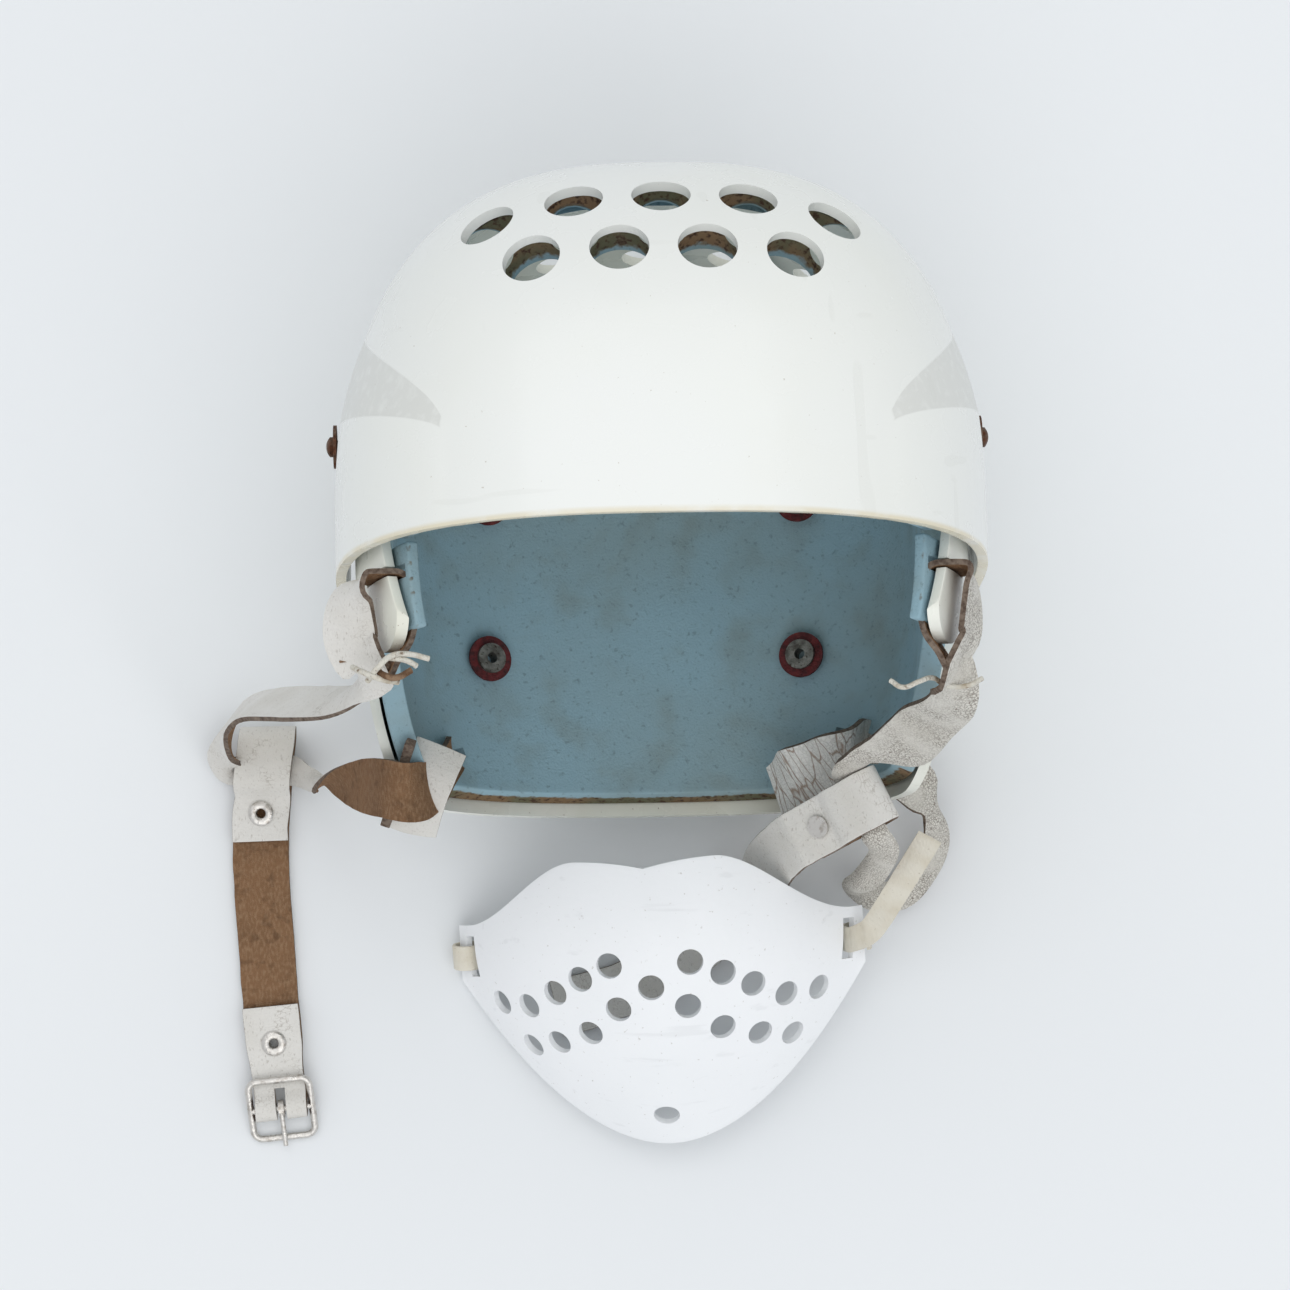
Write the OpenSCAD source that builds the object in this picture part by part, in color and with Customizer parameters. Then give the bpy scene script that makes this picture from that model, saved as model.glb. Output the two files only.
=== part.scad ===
// Two-piece vented hockey helmet lying on its back, with leather straps, a wire buckle and a
// perforated chin guard laid out beside it. The helmet's own frame has x across, y up through the
// crown and z forward through the forehead; lay() sets it down on its back, with z = 0 the table.

/* [Head form] */
// Half of the width over the shells, at the ears
half_width = 94.5; // [88:0.5:104]
// Height of the crown above the widest level
crown_height = 110; // [100:1:120]
// Depth that the form would reach below the widest level
skirt_depth = 112; // [100:1:120]
// Distance from the middle to the forehead
front_depth = 112; // [104:1:120]
// Distance from the middle to the back of the head
rear_depth = 117; // [110:1:122]
// Length of the straight middle stretch that the front shell slides along
straight = 40; // [38:1:50]
// How boxy the form is: 2 is an ellipsoid
boxiness = 2.65; // [2.3:0.05:3]

/* [Shells] */
// Wall of the front shell
front_wall = 3; // [2.5:0.1:4]
// Wall of the rear shell
rear_wall = 3; // [2.5:0.1:4]
// Running gap between the two shells
shell_gap = 0.8; // [0.7:0.1:1.5]
// Level of the brow edge, below the widest level
brow_drop = 12; // [8:1:18]
// How far the front shell reaches behind the middle
front_overlap = 38; // [30:1:38]
// How far the lower band of the front shell bulges out at the ears
wing_step = 2; // [0.5:0.5:3]
// Where the bulge starts, in front of the middle
wing_tip = 96; // [90:1:100]
// Level of the nape edge, below the widest level
nape_drop = 67; // [60:1:72]
// Level of the temple tabs' tips, below the widest level
tab_drop = 41; // [36:1:46]
// How far the front shell slides on its screws to set the head size
size_travel = 12; // [6:1:14]

/* [Vents] */
// Diameter of a vent hole
vent_d = 17; // [12:0.5:19]
// Distance between neighbouring front vents
vent_pitch = 25; // [22:0.5:28]
// Distance between neighbouring rear vents
rear_vent_pitch = 28; // [24:0.5:30]
// Vents in the rows nearer the crown
crown_vents = 5; // [1:2:5]
// Vents in the rows nearer the brow and the back
brow_vents = 4; // [2:2:4]
// Tilt of the front rows above straight ahead, crown row first
crown_row_tilt = 45; // [42:1:50]
// Tilt of the second front row
brow_row_tilt = 34; // [28:1:35]

/* [Liners] */
// Thickness of the foam liners
foam = 7; // [5:0.5:9]
// Gap between foam and shell
foam_gap = 0.9; // [0.6:0.1:1.2]
// Thickness of the foam strip inside each temple tab
temple_foam = 3.5; // [3:0.5:5]
// How much wider than a vent the hole in the foam is
foam_hole_extra = 1; // [0:0.5:3]

/* [Fasteners] */
// Diameter of the size screws' shank
screw_d = 4; // [3:0.5:5]
// Clearance of a shank in its hole
screw_clearance = 0.3; // [0.2:0.1:0.6]
// Diameter of the washer under a screw's head
washer_d = 13; // [10:0.5:15]
// Thickness of that washer
washer_t = 1; // [0.8:0.1:1.5]
// Diameter of the screw's head
screw_head_d = 6; // [5.5:0.5:8]
// Diameter of the nut inside
nut_d = 10; // [8:0.5:12]
// Thickness of the nut
nut_t = 3; // [2:0.5:4]
// Diameter of the liner rivets' flange
rivet_d = 9.5; // [8:0.5:12]
// Diameter of the red fibre ring under the flange
fibre_d = 14.5; // [13:0.5:17]
// Thickness of the fibre ring
fibre_t = 1; // [0.6:0.1:1.5]
// Diameter of the liner rivets' hollow shank
rivet_shank_d = 5; // [4:0.5:6]

/* [Straps] */
// Width of the leather
strap_w = 18; // [14:0.5:20]
// Thickness of the leather
strap_t = 2; // [1.5:0.1:2.4]
// Clearance of leather in a slot and around a wire
strap_clearance = 0.5; // [0.4:0.1:0.8]
// Diameter of the laces that tie the strap loops
lace_d = 2.2; // [1.6:0.1:2.6]
// Diameter of the eyelets through the straps
eyelet_d = 8; // [6:0.5:9]

/* [Buckle] */
// Outer length and width of the wire frame
buckle_size = 22; // [20:0.5:26]
// Diameter of the wire
wire_d = 2.2; // [1.6:0.1:2.4]
// Radius of the frame's corners, to the middle of the wire
buckle_corner = 3; // [2.5:0.5:5]

/* [Chin guard] */
// Half of the guard's width
guard_half = 65; // [60:1:68]
// Height of its middle over its ends
guard_rise = 44; // [38:1:50]
// Thickness of the guard
guard_t = 2; // [1.6:0.1:2.6]
// Diameter of its breathing holes
guard_hole_d = 8.3; // [6:0.1:9]
// Distance from its middle to the chin edge
guard_chin = 47; // [44:1:50]
// Distance from its middle to the top of the lip edge
guard_lip = 46; // [42:1:48]
// Width of the elastic bands that hang the guard
band_w = 8; // [6:0.5:9]
// Thickness of the bands
band_t = 1; // [0.8:0.1:1.5]

/* [Hidden] */
$fn = 48;

// How the helmet lies: leaned back, turned a little to its left, middle of the form above the table
recline = 10;
turn = 1.5;
rest_height = 116.42;
layout_centre = [-24.48, -38.312, 0];

// Offsets of each layer's two faces from the form
front_in = -front_wall;
rear_out = front_in - shell_gap;
rear_in = rear_out - rear_wall;
liner_out = rear_in - foam_gap;
liner_in = liner_out - foam;
front_liner_out = front_in - foam_gap;
front_liner_in = front_liner_out - foam;

// Side view of the rear shell's lower edge, as z, y
tab_front = 74;
tab_centre = 58;
tab_radius = 12;
notch_level = -20;
notch_rear = -14;
notch_radius = 24;
slot_level = -19;
rear_lean = 17;

screw_level = 31;
screw_forward = 4;
slot_across = screw_d + 2 * screw_clearance;

// Half power sum that is 1 on the form grown by off
function form(p, off) =
    let (
        tall = (p.y > 0 ? crown_height : skirt_depth) + off,
        along = p.z > 0 ? p.z : min(p.z + straight, 0),
        deep = (p.z > 0 ? front_depth : rear_depth - straight) + off
    )
    pow(abs(p.x) / (half_width + off), boxiness)
        + pow(abs(p.y) / tall, boxiness)
        + pow(abs(along) / deep, boxiness);

// Distance from start along way to the form, by halving
function reach(start, way, off, low = 0, high = 260, step = 0) =
    step > 20
        ? (low + high) / 2
        : let (middle = (low + high) / 2)
          form(start + middle * way, off) < 1
              ? reach(start, way, off, middle, high, step + 1)
              : reach(start, way, off, low, middle, step + 1);

function spot(start, way, off) = start + reach(start, way, off) * way;

// How far the lower side band stands out at a point
function wing(p) =
    p.z > wing_tip
        ? 0
        : let (
              run = sqrt(wing_tip - p.z),
              low = 14 + 2.2 * run,
              high = 14 + 5.4 * run,
              part = min(max((high - p.y) / (high - low), 0), 1)
          )
          wing_step * part * min(run / 6, 1);

function unit(v) = v / norm(v);

// A point of the form's skin in one fan plane: lean is 0 forward, 90 up and 180 back
function skin(pivot, lean, side, off, winged) =
    let (
        way = [sin(side), cos(side) * sin(lean), cos(side) * cos(lean)],
        p = spot([0, pivot[1], pivot[0]], way, off)
    )
    winged ? p + wing(p) * unit([p.x, 0.3 * p.y, 0.3 * p.z]) : p;

// Faces of a plate of two layers of points, each in rows of cols + 1
function plate_faces(rows, cols) =
    let (
        w = cols + 1,
        half = (rows + 1) * w,
        quads = [
            for (r = [0 : rows - 1], c = [0 : cols - 1])
                [r * w + c, r * w + c + 1, (r + 1) * w + c + 1, (r + 1) * w + c]
        ],
        rim = concat(
            [for (c = [0 : cols - 1]) [c, c + 1]],
            [for (r = [0 : rows - 1]) [r * w + cols, (r + 1) * w + cols]],
            [for (c = [cols : -1 : 1]) [rows * w + c, rows * w + c - 1]],
            [for (r = [rows : -1 : 1]) [r * w, (r - 1) * w]]
        )
    )
    concat(
        [for (q = quads) [q[0], q[1], q[2]]],
        [for (q = quads) [q[0], q[2], q[3]]],
        [for (q = quads) [q[2] + half, q[1] + half, q[0] + half]],
        [for (q = quads) [q[3] + half, q[2] + half, q[0] + half]],
        [for (e = rim) [e[1], e[0], e[0] + half]],
        [for (e = rim) [e[1], e[0] + half, e[1] + half]]
    );

// A plate between two offsets of the form; each station is [[pivot z, pivot y], lean]
module form_plate(stations, cols, out, in, winged = false, reach_side = 90) {
    sides = [for (c = [0 : cols]) reach_side * (2 * c / cols - 1)];
    outer = [for (s = stations, a = sides) skin(s[0], s[1], a, out, winged)];
    inner = [for (s = stations, a = sides) skin(s[0], s[1], a, in, false)];
    polyhedron(concat(inner, outer), plate_faces(len(stations) - 1, cols), convexity = 6);
}

function mix(a, b, t) = a + (b - a) * t;

// Points of an arc about c in a plane, from angle a to angle b
function arc(c, r, a, b, n) = [for (i = [0 : n]) c + r * [cos(mix(a, b, i / n)), sin(mix(a, b, i / n))]];

// Moves what is placed from the middle of the helmet to the middle of the whole layout
module laid() {
    translate(-layout_centre) children();
}

module lay() {
    laid() translate([0, 0, rest_height]) rotate([-recline, 0, 0]) rotate([0, turn, 0]) children();
}

// A direction and a point of the helmet's own frame, seen from the table
function table_way(v) =
    let (q = [v.x * cos(turn) + v.z * sin(turn), v.y, v.z * cos(turn) - v.x * sin(turn)])
    [q.x, q.y * cos(recline) + q.z * sin(recline), q.z * cos(recline) - q.y * sin(recline)];
function table_spot(p) = table_way(p) + [0, 0, rest_height];

// Puts children with their z axis along way, at a place
module aim(place, way) {
    u = unit(way);
    translate(place) rotate([0, acos(u.z), atan2(u.y, u.x)]) children();
}

// A side view outline, in z and y, swept right across the helmet
module across(points) {
    rotate([0, -90, 0])
        linear_extrude(height = 4 * half_width, center = true)
            polygon([for (p = points) [p[0], p[1]]]);
}

// Places and directions of one row of vents at a tilt from forward
function vent_row(count, pitch, tilt) = [
    for (i = [0 : count - 1])
        let (
            x = (i - (count - 1) / 2) * pitch,
            p = spot([x, 0, 0], [0, sin(tilt), cos(tilt)], 0)
        )
        p
];

// Outward direction of the form at a point
function outward(p) =
    let (
        tall = p.y > 0 ? crown_height : skirt_depth,
        along = p.z > 0 ? p.z : min(p.z + straight, 0),
        deep = p.z > 0 ? front_depth : rear_depth - straight,
        n = boxiness - 1
    )
    unit([
        sign(p.x) * pow(abs(p.x) / half_width, n) / half_width,
        sign(p.y) * pow(abs(p.y) / tall, n) / tall,
        sign(along) * pow(abs(along) / deep, n) / deep
    ]);

module vents(places, d) {
    for (p = places) aim(p, outward(p)) cylinder(d = d, h = 60, center = true);
}

front_vents = concat(
    vent_row(crown_vents, vent_pitch, crown_row_tilt),
    vent_row(brow_vents, vent_pitch, brow_row_tilt)
);
rear_vents = concat(
    vent_row(crown_vents, rear_vent_pitch, 116),
    vent_row(brow_vents, rear_vent_pitch, 127)
);

// The front shell fans from the brow edge up and back to its rear edge
front_corner = 15;
front_stations = [
    for (i = [0 : 18])
        let (
            t = i / 18,
            straight_part = min(t / 0.7, 1),
            bend = 90 * max((t - 0.7) / 0.3, 0),
            z = mix(64, front_corner - front_overlap, straight_part) - front_corner * sin(bend),
            y = -brow_drop + front_corner * (1 - cos(bend))
        )
        [[z, y], 90 * t]
];

module side_screw_holes(d, long) {
    for (side = [-1, 1])
        for (z = [0, long])
            translate([side * half_width, screw_level, screw_forward + z])
                rotate([0, 90, 0]) cylinder(d = d, h = 30, center = true);
    if (long > 0)
        for (side = [-1, 1])
            translate([side * half_width, screw_level, screw_forward + long / 2])
                cube([30, d, long], center = true);
}

module front_shell() {
    color("white") lay() difference() {
        form_plate(front_stations, 36, 0, front_in, true);
        vents(front_vents, vent_d);
        side_screw_holes(slot_across, 0);
    }
}

// The foam ends just behind the crown row of vents
front_liner_edge = 66;
front_liner_lean = 92;
front_liner_stations = [
    for (i = [0 : 9]) [[mix(84, front_liner_edge, i / 9), -brow_drop + 3], front_liner_lean * i / 9]
];

module front_liner() {
    color([0.5, 0.64, 0.72]) lay() difference() {
        form_plate(front_liner_stations, 22, front_liner_out, front_liner_in);
        vents(front_vents, vent_d + foam_hole_extra);
    }
}

// Everything below the rear shell's lower edge, as seen from the side
below_rear = concat(
    [[130, -tab_radius], [tab_front, -tab_radius]],
    arc([tab_centre, tab_radius - tab_drop], tab_radius, 0, -180, 10),
    arc([tab_centre - tab_radius - 8, notch_level - 6], 6, 0, 90, 4),
    arc([notch_rear, notch_level - notch_radius], notch_radius, 90, 180, 8),
    arc([notch_rear - notch_radius - 22, 22 - nape_drop], 22, 0, -90, 6),
    [[-140, -nape_drop], [-140, -140], [130, -140]]
);

rear_stations = [
    for (i = [0 : 24])
        let (t = i / 24)
        [[mix(tab_front, -36, t), mix(-44, -nape_drop - 3, t)], mix(90 + rear_lean, 180, t)]
];

// The slot near each lower rear corner that a side strap passes
corner_slot = spot([0, 0, 0], unit([70, -52, -85]), rear_in + 0.4);
corner_way = [0.68, -0.27, -0.68];

module corner_slots(wide, long) {
    for (side = [-1, 1])
        scale_side(side)
            aim(corner_slot, corner_way) cube([wide, long, 40], center = true);
}

module scale_side(side) {
    if (side > 0) children();
    else mirror([1, 0, 0]) children();
}

module tab_slots(grow) {
    for (side = [-1, 1])
        scale_side(side)
            translate([80, slot_level, tab_centre])
                cube([40, strap_t + 2 * strap_clearance + grow, strap_w + 2 * strap_clearance + grow], center = true);
}

rivet_side = 55;
rivet_shift = -3;
rivet_levels = [-18, 34.5];

module rivet_places(off) {
    for (side = [-1, 1], y = rivet_levels)
        let (p = spot([side * rivet_side + rivet_shift, y, 0], [0, 0, -1], off))
            aim(p, outward(p)) children();
}

module rear_shell() {
    color([0.96, 0.97, 0.96]) lay() difference() {
        form_plate(rear_stations, 36, rear_out, rear_in);
        across(below_rear);
        vents(rear_vents, vent_d);
        side_screw_holes(slot_across, size_travel);
        tab_slots(0);
        corner_slots(strap_t + 4 * strap_clearance, strap_w + 4 * strap_clearance);
        rivet_places(rear_out) cylinder(d = rivet_shank_d + 0.4, h = 40, center = true);
    }
}

rear_liner_stations = [
    for (i = [0 : 14])
        let (t = i / 14)
        [[mix(-8, -42, t), mix(notch_level - 4, 4 - nape_drop, t)], mix(103, 180, t)]
];

module rear_liner() {
    color([0.42, 0.56, 0.63]) lay() difference() {
        form_plate(rear_liner_stations, 26, liner_out, liner_in);
        vents(rear_vents, vent_d + foam_hole_extra);
        corner_slots(strap_t + 8, strap_w + 8);
        rivet_places(rear_out) cylinder(d = rivet_shank_d + 0.4, h = 60, center = true);
    }
}

module temple_pad(side) {
    stations = [for (y = [-36 : 5 : -11]) y];
    forward = [for (z = [46 : 6 : 70]) z];
    outer = [for (y = stations, z = forward) spot([0, y, z], [side, 0, 0], rear_in - foam_gap)];
    inner = [for (y = stations, z = forward)
        spot([0, y, z], [side, 0, 0], rear_in - foam_gap - temple_foam)];
    points = side > 0 ? concat(outer, inner) : concat(inner, outer);
    color([0.45, 0.6, 0.66]) lay() difference() {
        polyhedron(points, plate_faces(len(stations) - 1, len(forward) - 1));
        tab_slots(1);
    }
}

module left_temple_pad() temple_pad(-1);
module right_temple_pad() temple_pad(1);

// Where the size screw's washer seats, clear of the bulged band around the hole
function seat_x() =
    max([
        for (y = [-1, 0, 1], z = [-1, 0, 1])
            skin([screw_forward + z * washer_d / 2, screw_level + y * washer_d / 2], 0, 90, 0, true).x
    ]) + 0.1;

// Where the nut seats inside the rear shell, clear over the whole travel
function nut_x() =
    min([
        for (y = [-1, 0, 1], z = [-1, 1])
            spot(
                [0, screw_level + y * nut_d / 2, screw_forward + size_travel / 2 + z * (size_travel + nut_d) / 2],
                [1, 0, 0], rear_in
            ).x
    ]) - 0.5;

module at_screw(side) {
    lay() scale_side(side) translate([0, screw_level, screw_forward]) rotate([0, 90, 0]) children();
}

module size_screw(side) {
    head = seat_x() + washer_t + 0.05;
    tail = nut_x() - nut_t - 0.5;
    color([0.38, 0.32, 0.25]) at_screw(side) difference() {
        union() {
            translate([0, 0, tail]) cylinder(d = screw_d, h = head - tail);
            translate([0, 0, head]) intersection() {
                cylinder(d = screw_head_d, h = 2.2);
                translate([0, 0, -2.2]) sphere(d = 8.8);
            }
        }
        translate([0, 0, head + 2.2]) cube([1, screw_head_d + 2, 2.2], center = true);
    }
}

module screw_washer(side) {
    color([0.42, 0.34, 0.28]) at_screw(side) translate([0, 0, seat_x()]) difference() {
        cylinder(d = washer_d, h = washer_t);
        translate([0, 0, -1]) cylinder(d = slot_across, h = washer_t + 2);
    }
}

module screw_nut(side) {
    color("silver") at_screw(side) translate([0, 0, nut_x() - nut_t]) difference() {
        cylinder(d = nut_d, h = nut_t, $fn = 6);
        translate([0, 0, -1]) cylinder(d = screw_d + 0.1, h = nut_t + 2);
    }
}

module left_size_screw() size_screw(-1);
module right_size_screw() size_screw(1);
module left_screw_washer() screw_washer(-1);
module right_screw_washer() screw_washer(1);
module left_screw_nut() screw_nut(-1);
module right_screw_nut() screw_nut(1);

// Depth of the liner's inner face below the rear shell's outer face, with room for curvature
liner_stack = rear_wall + foam_gap + foam;
fibre_seat = -liner_stack - 2.7;

module liner_rivets() {
    color([0.5, 0.5, 0.5]) lay() rivet_places(rear_out) difference() {
        union() {
            translate([0, 0, 0.4]) cylinder(d = rivet_d, h = 1.2);
            translate([0, 0, fibre_seat - fibre_t - 1.2]) cylinder(d = rivet_d, h = 1.15);
            translate([0, 0, fibre_seat - fibre_t - 1.2])
                cylinder(d = rivet_shank_d, h = liner_stack + fibre_t + 3);
        }
        translate([0, 0, fibre_seat - fibre_t - 3]) cylinder(d = rivet_shank_d - 1.6, h = liner_stack + 3);
    }
}

module fibre_rings() {
    color([0.42, 0.13, 0.14]) lay() rivet_places(rear_out) translate([0, 0, fibre_seat - fibre_t]) difference() {
        cylinder(d = fibre_d, h = fibre_t);
        translate([0, 0, -1]) cylinder(d = rivet_shank_d + 0.3, h = fibre_t + 2);
    }
}

// A leather ribbon along stations of [point, direction across, width share], smoothed between them
function weave(a, b, c, d, t) =
    0.5 * ((2 * b) + (c - a) * t + (2 * a - 5 * b + 4 * c - d) * t * t + (3 * b - a - 3 * c + d) * t * t * t);

function smooth(list, k) = [
    for (i = [0 : len(list) - 2], j = [0 : k - 1])
        weave(list[max(i - 1, 0)], list[i], list[i + 1], list[min(i + 2, len(list) - 1)], j / k),
    list[len(list) - 1]
];

module ribbon(route, wide, thick, k = 4) {
    places = smooth([for (s = route) s[0]], k);
    sides = smooth([for (s = route) unit(s[1]) * s[2]], k);
    n = len(places);
    rings = [
        for (i = [0 : n - 1])
            let (
                along = unit(places[min(i + 1, n - 1)] - places[max(i - 1, 0)]),
                flat = sides[i] - (sides[i] * along) * along,
                share = norm(sides[i]),
                w = unit(flat) * wide * share / 2,
                h = cross(along, unit(flat)) * thick / 2
            )
            each [places[i] + w + h, places[i] - w + h, places[i] - w - h, places[i] + w - h]
    ];
    faces = concat(
        [for (i = [0 : n - 2], j = [0 : 3]) [4 * i + (j + 1) % 4, 4 * i + j, 4 * i + 4 + j]],
        [for (i = [0 : n - 2], j = [0 : 3]) [4 * i + 4 + (j + 1) % 4, 4 * i + (j + 1) % 4, 4 * i + 4 + j]],
        [[0, 1, 2], [0, 2, 3]],
        [[4 * n - 2, 4 * n - 3, 4 * n - 4], [4 * n - 1, 4 * n - 2, 4 * n - 4]]
    );
    polyhedron(points = rings, faces = faces, convexity = 8);
}

// A round cord along a route of points, smoothed between them
module cord(route, d, k, sides) {
    places = smooth(route, k);
    n = len(places);
    rings = [
        for (i = [0 : n - 1])
            let (
                along = unit(places[min(i + 1, n - 1)] - places[max(i - 1, 0)]),
                w = unit(cross(along, [0.2, 0.1, 1])),
                h = cross(along, w)
            )
            for (j = [0 : sides - 1]) places[i] + d / 2 * (cos(360 * j / sides) * w + sin(360 * j / sides) * h)
    ];
    last = (n - 1) * sides;
    faces = concat(
        [for (i = [0 : n - 2], j = [0 : sides - 1])
            [sides * i + (j + 1) % sides, sides * i + j, sides * (i + 1) + j]],
        [for (i = [0 : n - 2], j = [0 : sides - 1])
            [sides * i + (j + 1) % sides, sides * (i + 1) + j, sides * (i + 1) + (j + 1) % sides]],
        [for (j = [1 : sides - 2]) [0, j, j + 1]],
        [for (j = [1 : sides - 2]) [last, last + j + 1, last + j]]
    );
    polyhedron(points = rings, faces = faces, convexity = 6);
}

// How far the straps' places move out on a helmet wider than the one that they were laid beside
laid_half_width = 94.5;
spread = half_width - laid_half_width;

function moved(route, by) = [for (s = route) [s[0] + [by, 0, 0], s[1], s[2]]];

module laid_beside(side) {
    laid() translate([side * spread, 0, 0]) children();
}

// A side strap's loop through the slot of its tab: up inside, out through the slot and down outside,
// standing out by bulge from the tab's face and twisted by that many degrees
tab_face = spot([0, slot_level, tab_centre], [1, 0, 0], rear_out).x;

function tab_loop(side, bulge, twist) = [
    for (s = [
        [-14.8, -47, 57, 15], [-15.5, -38, 57.5, 20], [-15.5, -29, 58, 15], [-15.4, -22.5, 58, 5],
        [-14.7, -19.9, 58, 0], [-12.7, -19, 58, 0], [-8.3, -19, 58, 0], [-3.3, -19, 58, 0], [1.3, -19, 58, 0],
        [3.6, -19.9, 58, 0.2 * twist], [mix(4.7, bulge, 0.7), -24, 57.5, 0.7 * twist],
        [bulge, -31, 57, twist], [bulge - 1, -39, 56, twist], [bulge - 5, -46, 55, 0.6 * twist]
    ])
        [table_spot([side * (tab_face + s[0]), s[1], s[2]]), table_way([-side * sin(s[3]), 0, cos(s[3])]), 1]
];

// Places along a side strap's way through its corner slot, from outside to inside
function corner_pass(side, steps) = [
    for (step = steps)
        [table_spot([side * (corner_slot.x + step * corner_way.x), corner_slot.y + step * corner_way.y,
                     corner_slot.z + step * corner_way.z]),
         table_way([side * 0.37, 0.93, 0]), 1]
];

// The fold of the right chin strap round the right side strap
fold_centre = [60 + spread, -80, 73];
fold_along = unit([0.74, 0.42, 0.52]);
fold_across = unit([-0.42, 0.9, -0.13]);
fold_out = cross(fold_along, fold_across);
fold_half = strap_t / 2 + 2.7;
pair_half = strap_t / 2 + 0.2;
rivet_along = -15.2;

// Routes from the tabs to the corner slots, in the lying frame: place, direction across, width share
left_side_route = [
    each tab_loop(-1, 7.7, 54),
    each moved([
        [[-86, -44, 168], [0.2, 0.5, 1], 0.8],
        [[-90, -48, 148], [-0.3, 1, 0.6], 0.8], [[-99, -48, 115], [-0.2, 1, 0.4], 1],
        [[-114, -47, 75], [0, 1, 0.3], 1], [[-130, -48, 38], [0, 1, 0.2], 1],
        [[-140, -52, 16], [0.2, 1, 0.5], 0.9], [[-143, -59, 8], [0.3, 1, 0.2], 0.7],
        [[-137, -63, 5.6], [0, 1, 0], 0.55], [[-128, -64, 5.6], [0, 1, 0], 0.55],
        [[-119, -65, 5.8], [0, 1, 0], 0.55],
        [[-111, -69, 11], [0.1, 0.9, 0.4], 0.7], [[-106, -74, 32], [0.1, 1, 0.2], 0.95],
        [[-100, -80, 62], [0, 1, 0], 1], [[-92, -81, 86], [0, 1, 0], 1], [[-81, -80, 92], [0, 1, 0], 1],
        [[-69, -80, 86], [0, 1, 0], 1], [[-61, -72, 74], [-0.2, 1, -0.1], 1],
        [[-59.5, -62, 60], [-0.3, 1, -0.16], 1]
    ], -spread),
    each corner_pass(-1, [-9, 0, 9]),
    each moved([[[-83, -74, 36], [-0.36, 0.92, 0], 1], [[-87, -80, 39], [-0.2, 0.9, 0.4], 1]], -spread)
];
right_side_route = [
    each tab_loop(1, 4.2, 20),
    each moved([
        [[84, -48, 158], [0.8, 0.4, 0.4], 1],
        [[78, -54, 134], [0.8, 0.5, 0.2], 1], [[71, -62, 110], [0.8, 0.5, 0], 1],
        [[63, -65, 93], [0.8, 0.5, 0.2], 0.8], [[58.5, -67, 81], [0.75, 0.4, 0.4], 0.6]
    ], spread),
    for (step = [9, 4, -1, -6, -11]) [fold_centre + step * fold_across, fold_along, 0.46],
    each moved([
        [[67.5, -95, 66], [0.9, 0.1, 0.4], 0.47], [[65, -101, 53], [0.9, 0.2, 0.2], 0.45],
        [[61.5, -106, 39], [1, 0.1, 0.1], 0.42],
        [[60, -108, 25], [1, 0, 0], 0.4], [[62.5, -109.5, 14], [1, 0.2, 0], 0.4],
        [[69, -112, 7.2], [0.7, 0.7, 0], 0.45],
        [[76.5, -110.5, 6.5], [-0.5, 1, 0], 0.45], [[83, -103, 12], [-1, 0.3, 0.3], 0.45],
        [[86, -92, 20], [-0.8, 0.4, 0.4], 0.6], [[83, -80, 27], [-0.2, 0.9, 0.1], 0.9]
    ], spread),
    each corner_pass(1, [9, 0, -9]),
    each moved([
        [[56, -63, 52], [0.4, 0.9, 0], 1],
        [[48, -67, 55], [0.45, 0.9, 0], 1], [[40, -72, 54], [0.5, 0.85, 0], 1],
        [[33, -77, 49], [0.5, 0.85, 0], 1]
    ], spread)
];

// The left chin strap: keeper fold, free length, then the fold that holds the buckle's bar
under = 1.7;
over = under + strap_t + 0.4;
bar_place = [-125, -176, under + strap_t / 2 + strap_clearance + wire_d / 2];
bar_loop = strap_t / 2 + strap_clearance + wire_d / 2;
bar_share = (buckle_size - 2 * wire_d - 2 * strap_clearance) / strap_w;
left_chin_route = [
    [[-130, -90, over], [1, 0, 0], 1], [[-130, -84, over], [1, 0, 0], 1], [[-129, -76, over], [1, 0, 0], 1],
    [[-129, -71, 8.4], [1, 0, 0], 1], [[-128, -64, 9.4], [1, 0, 0], 1], [[-127, -57, 8.4], [1, 0, 0], 1],
    [[-126.6, -54, 5], [1, 0, 0], 1], [[-127, -57, 2.2], [1, 0, 0], 1], [[-128, -64, under], [1, 0, 0], 1],
    [[-129, -76, under], [1, 0, 0], 1], [[-130, -88, under], [1, 0, 0], 1], [[-130, -104, under], [1, 0, 0], 1],
    [[-129, -122, under], [1, 0, 0], 1], [[-128, -141, under], [1, 0.1, 0], 1],
    [[-127, -154, under], [1, 0.1, 0], 1], [[-126.2, -163, under], [1, 0.1, 0], bar_share],
    [[-125.4, -170, under], [1, 0.1, 0], bar_share], [[-125.1, -174, under], [1, 0.1, 0], bar_share],
    for (a = [-90 : -45 : -270]) [bar_place + bar_loop * [0, cos(a), sin(a)], [1, 0.1, 0], bar_share],
    [[-125.1, -173.8, 6.5], [1, 0.1, 0], bar_share], [[-125.4, -170.5, 4.6], [1, 0.1, 0], bar_share],
    [[-125.8, -167, over], [1, 0.1, 0], bar_share], [[-126.2, -163, over], [1, 0.1, 0], bar_share],
    [[-127, -155, over], [1, 0.1, 0], 1], [[-128, -143, over], [1, 0.1, 0], 1]
];
left_eyelet = [-129.6, -81, 0];
buckle_eyelet_place = [-127, -155, 0];

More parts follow.
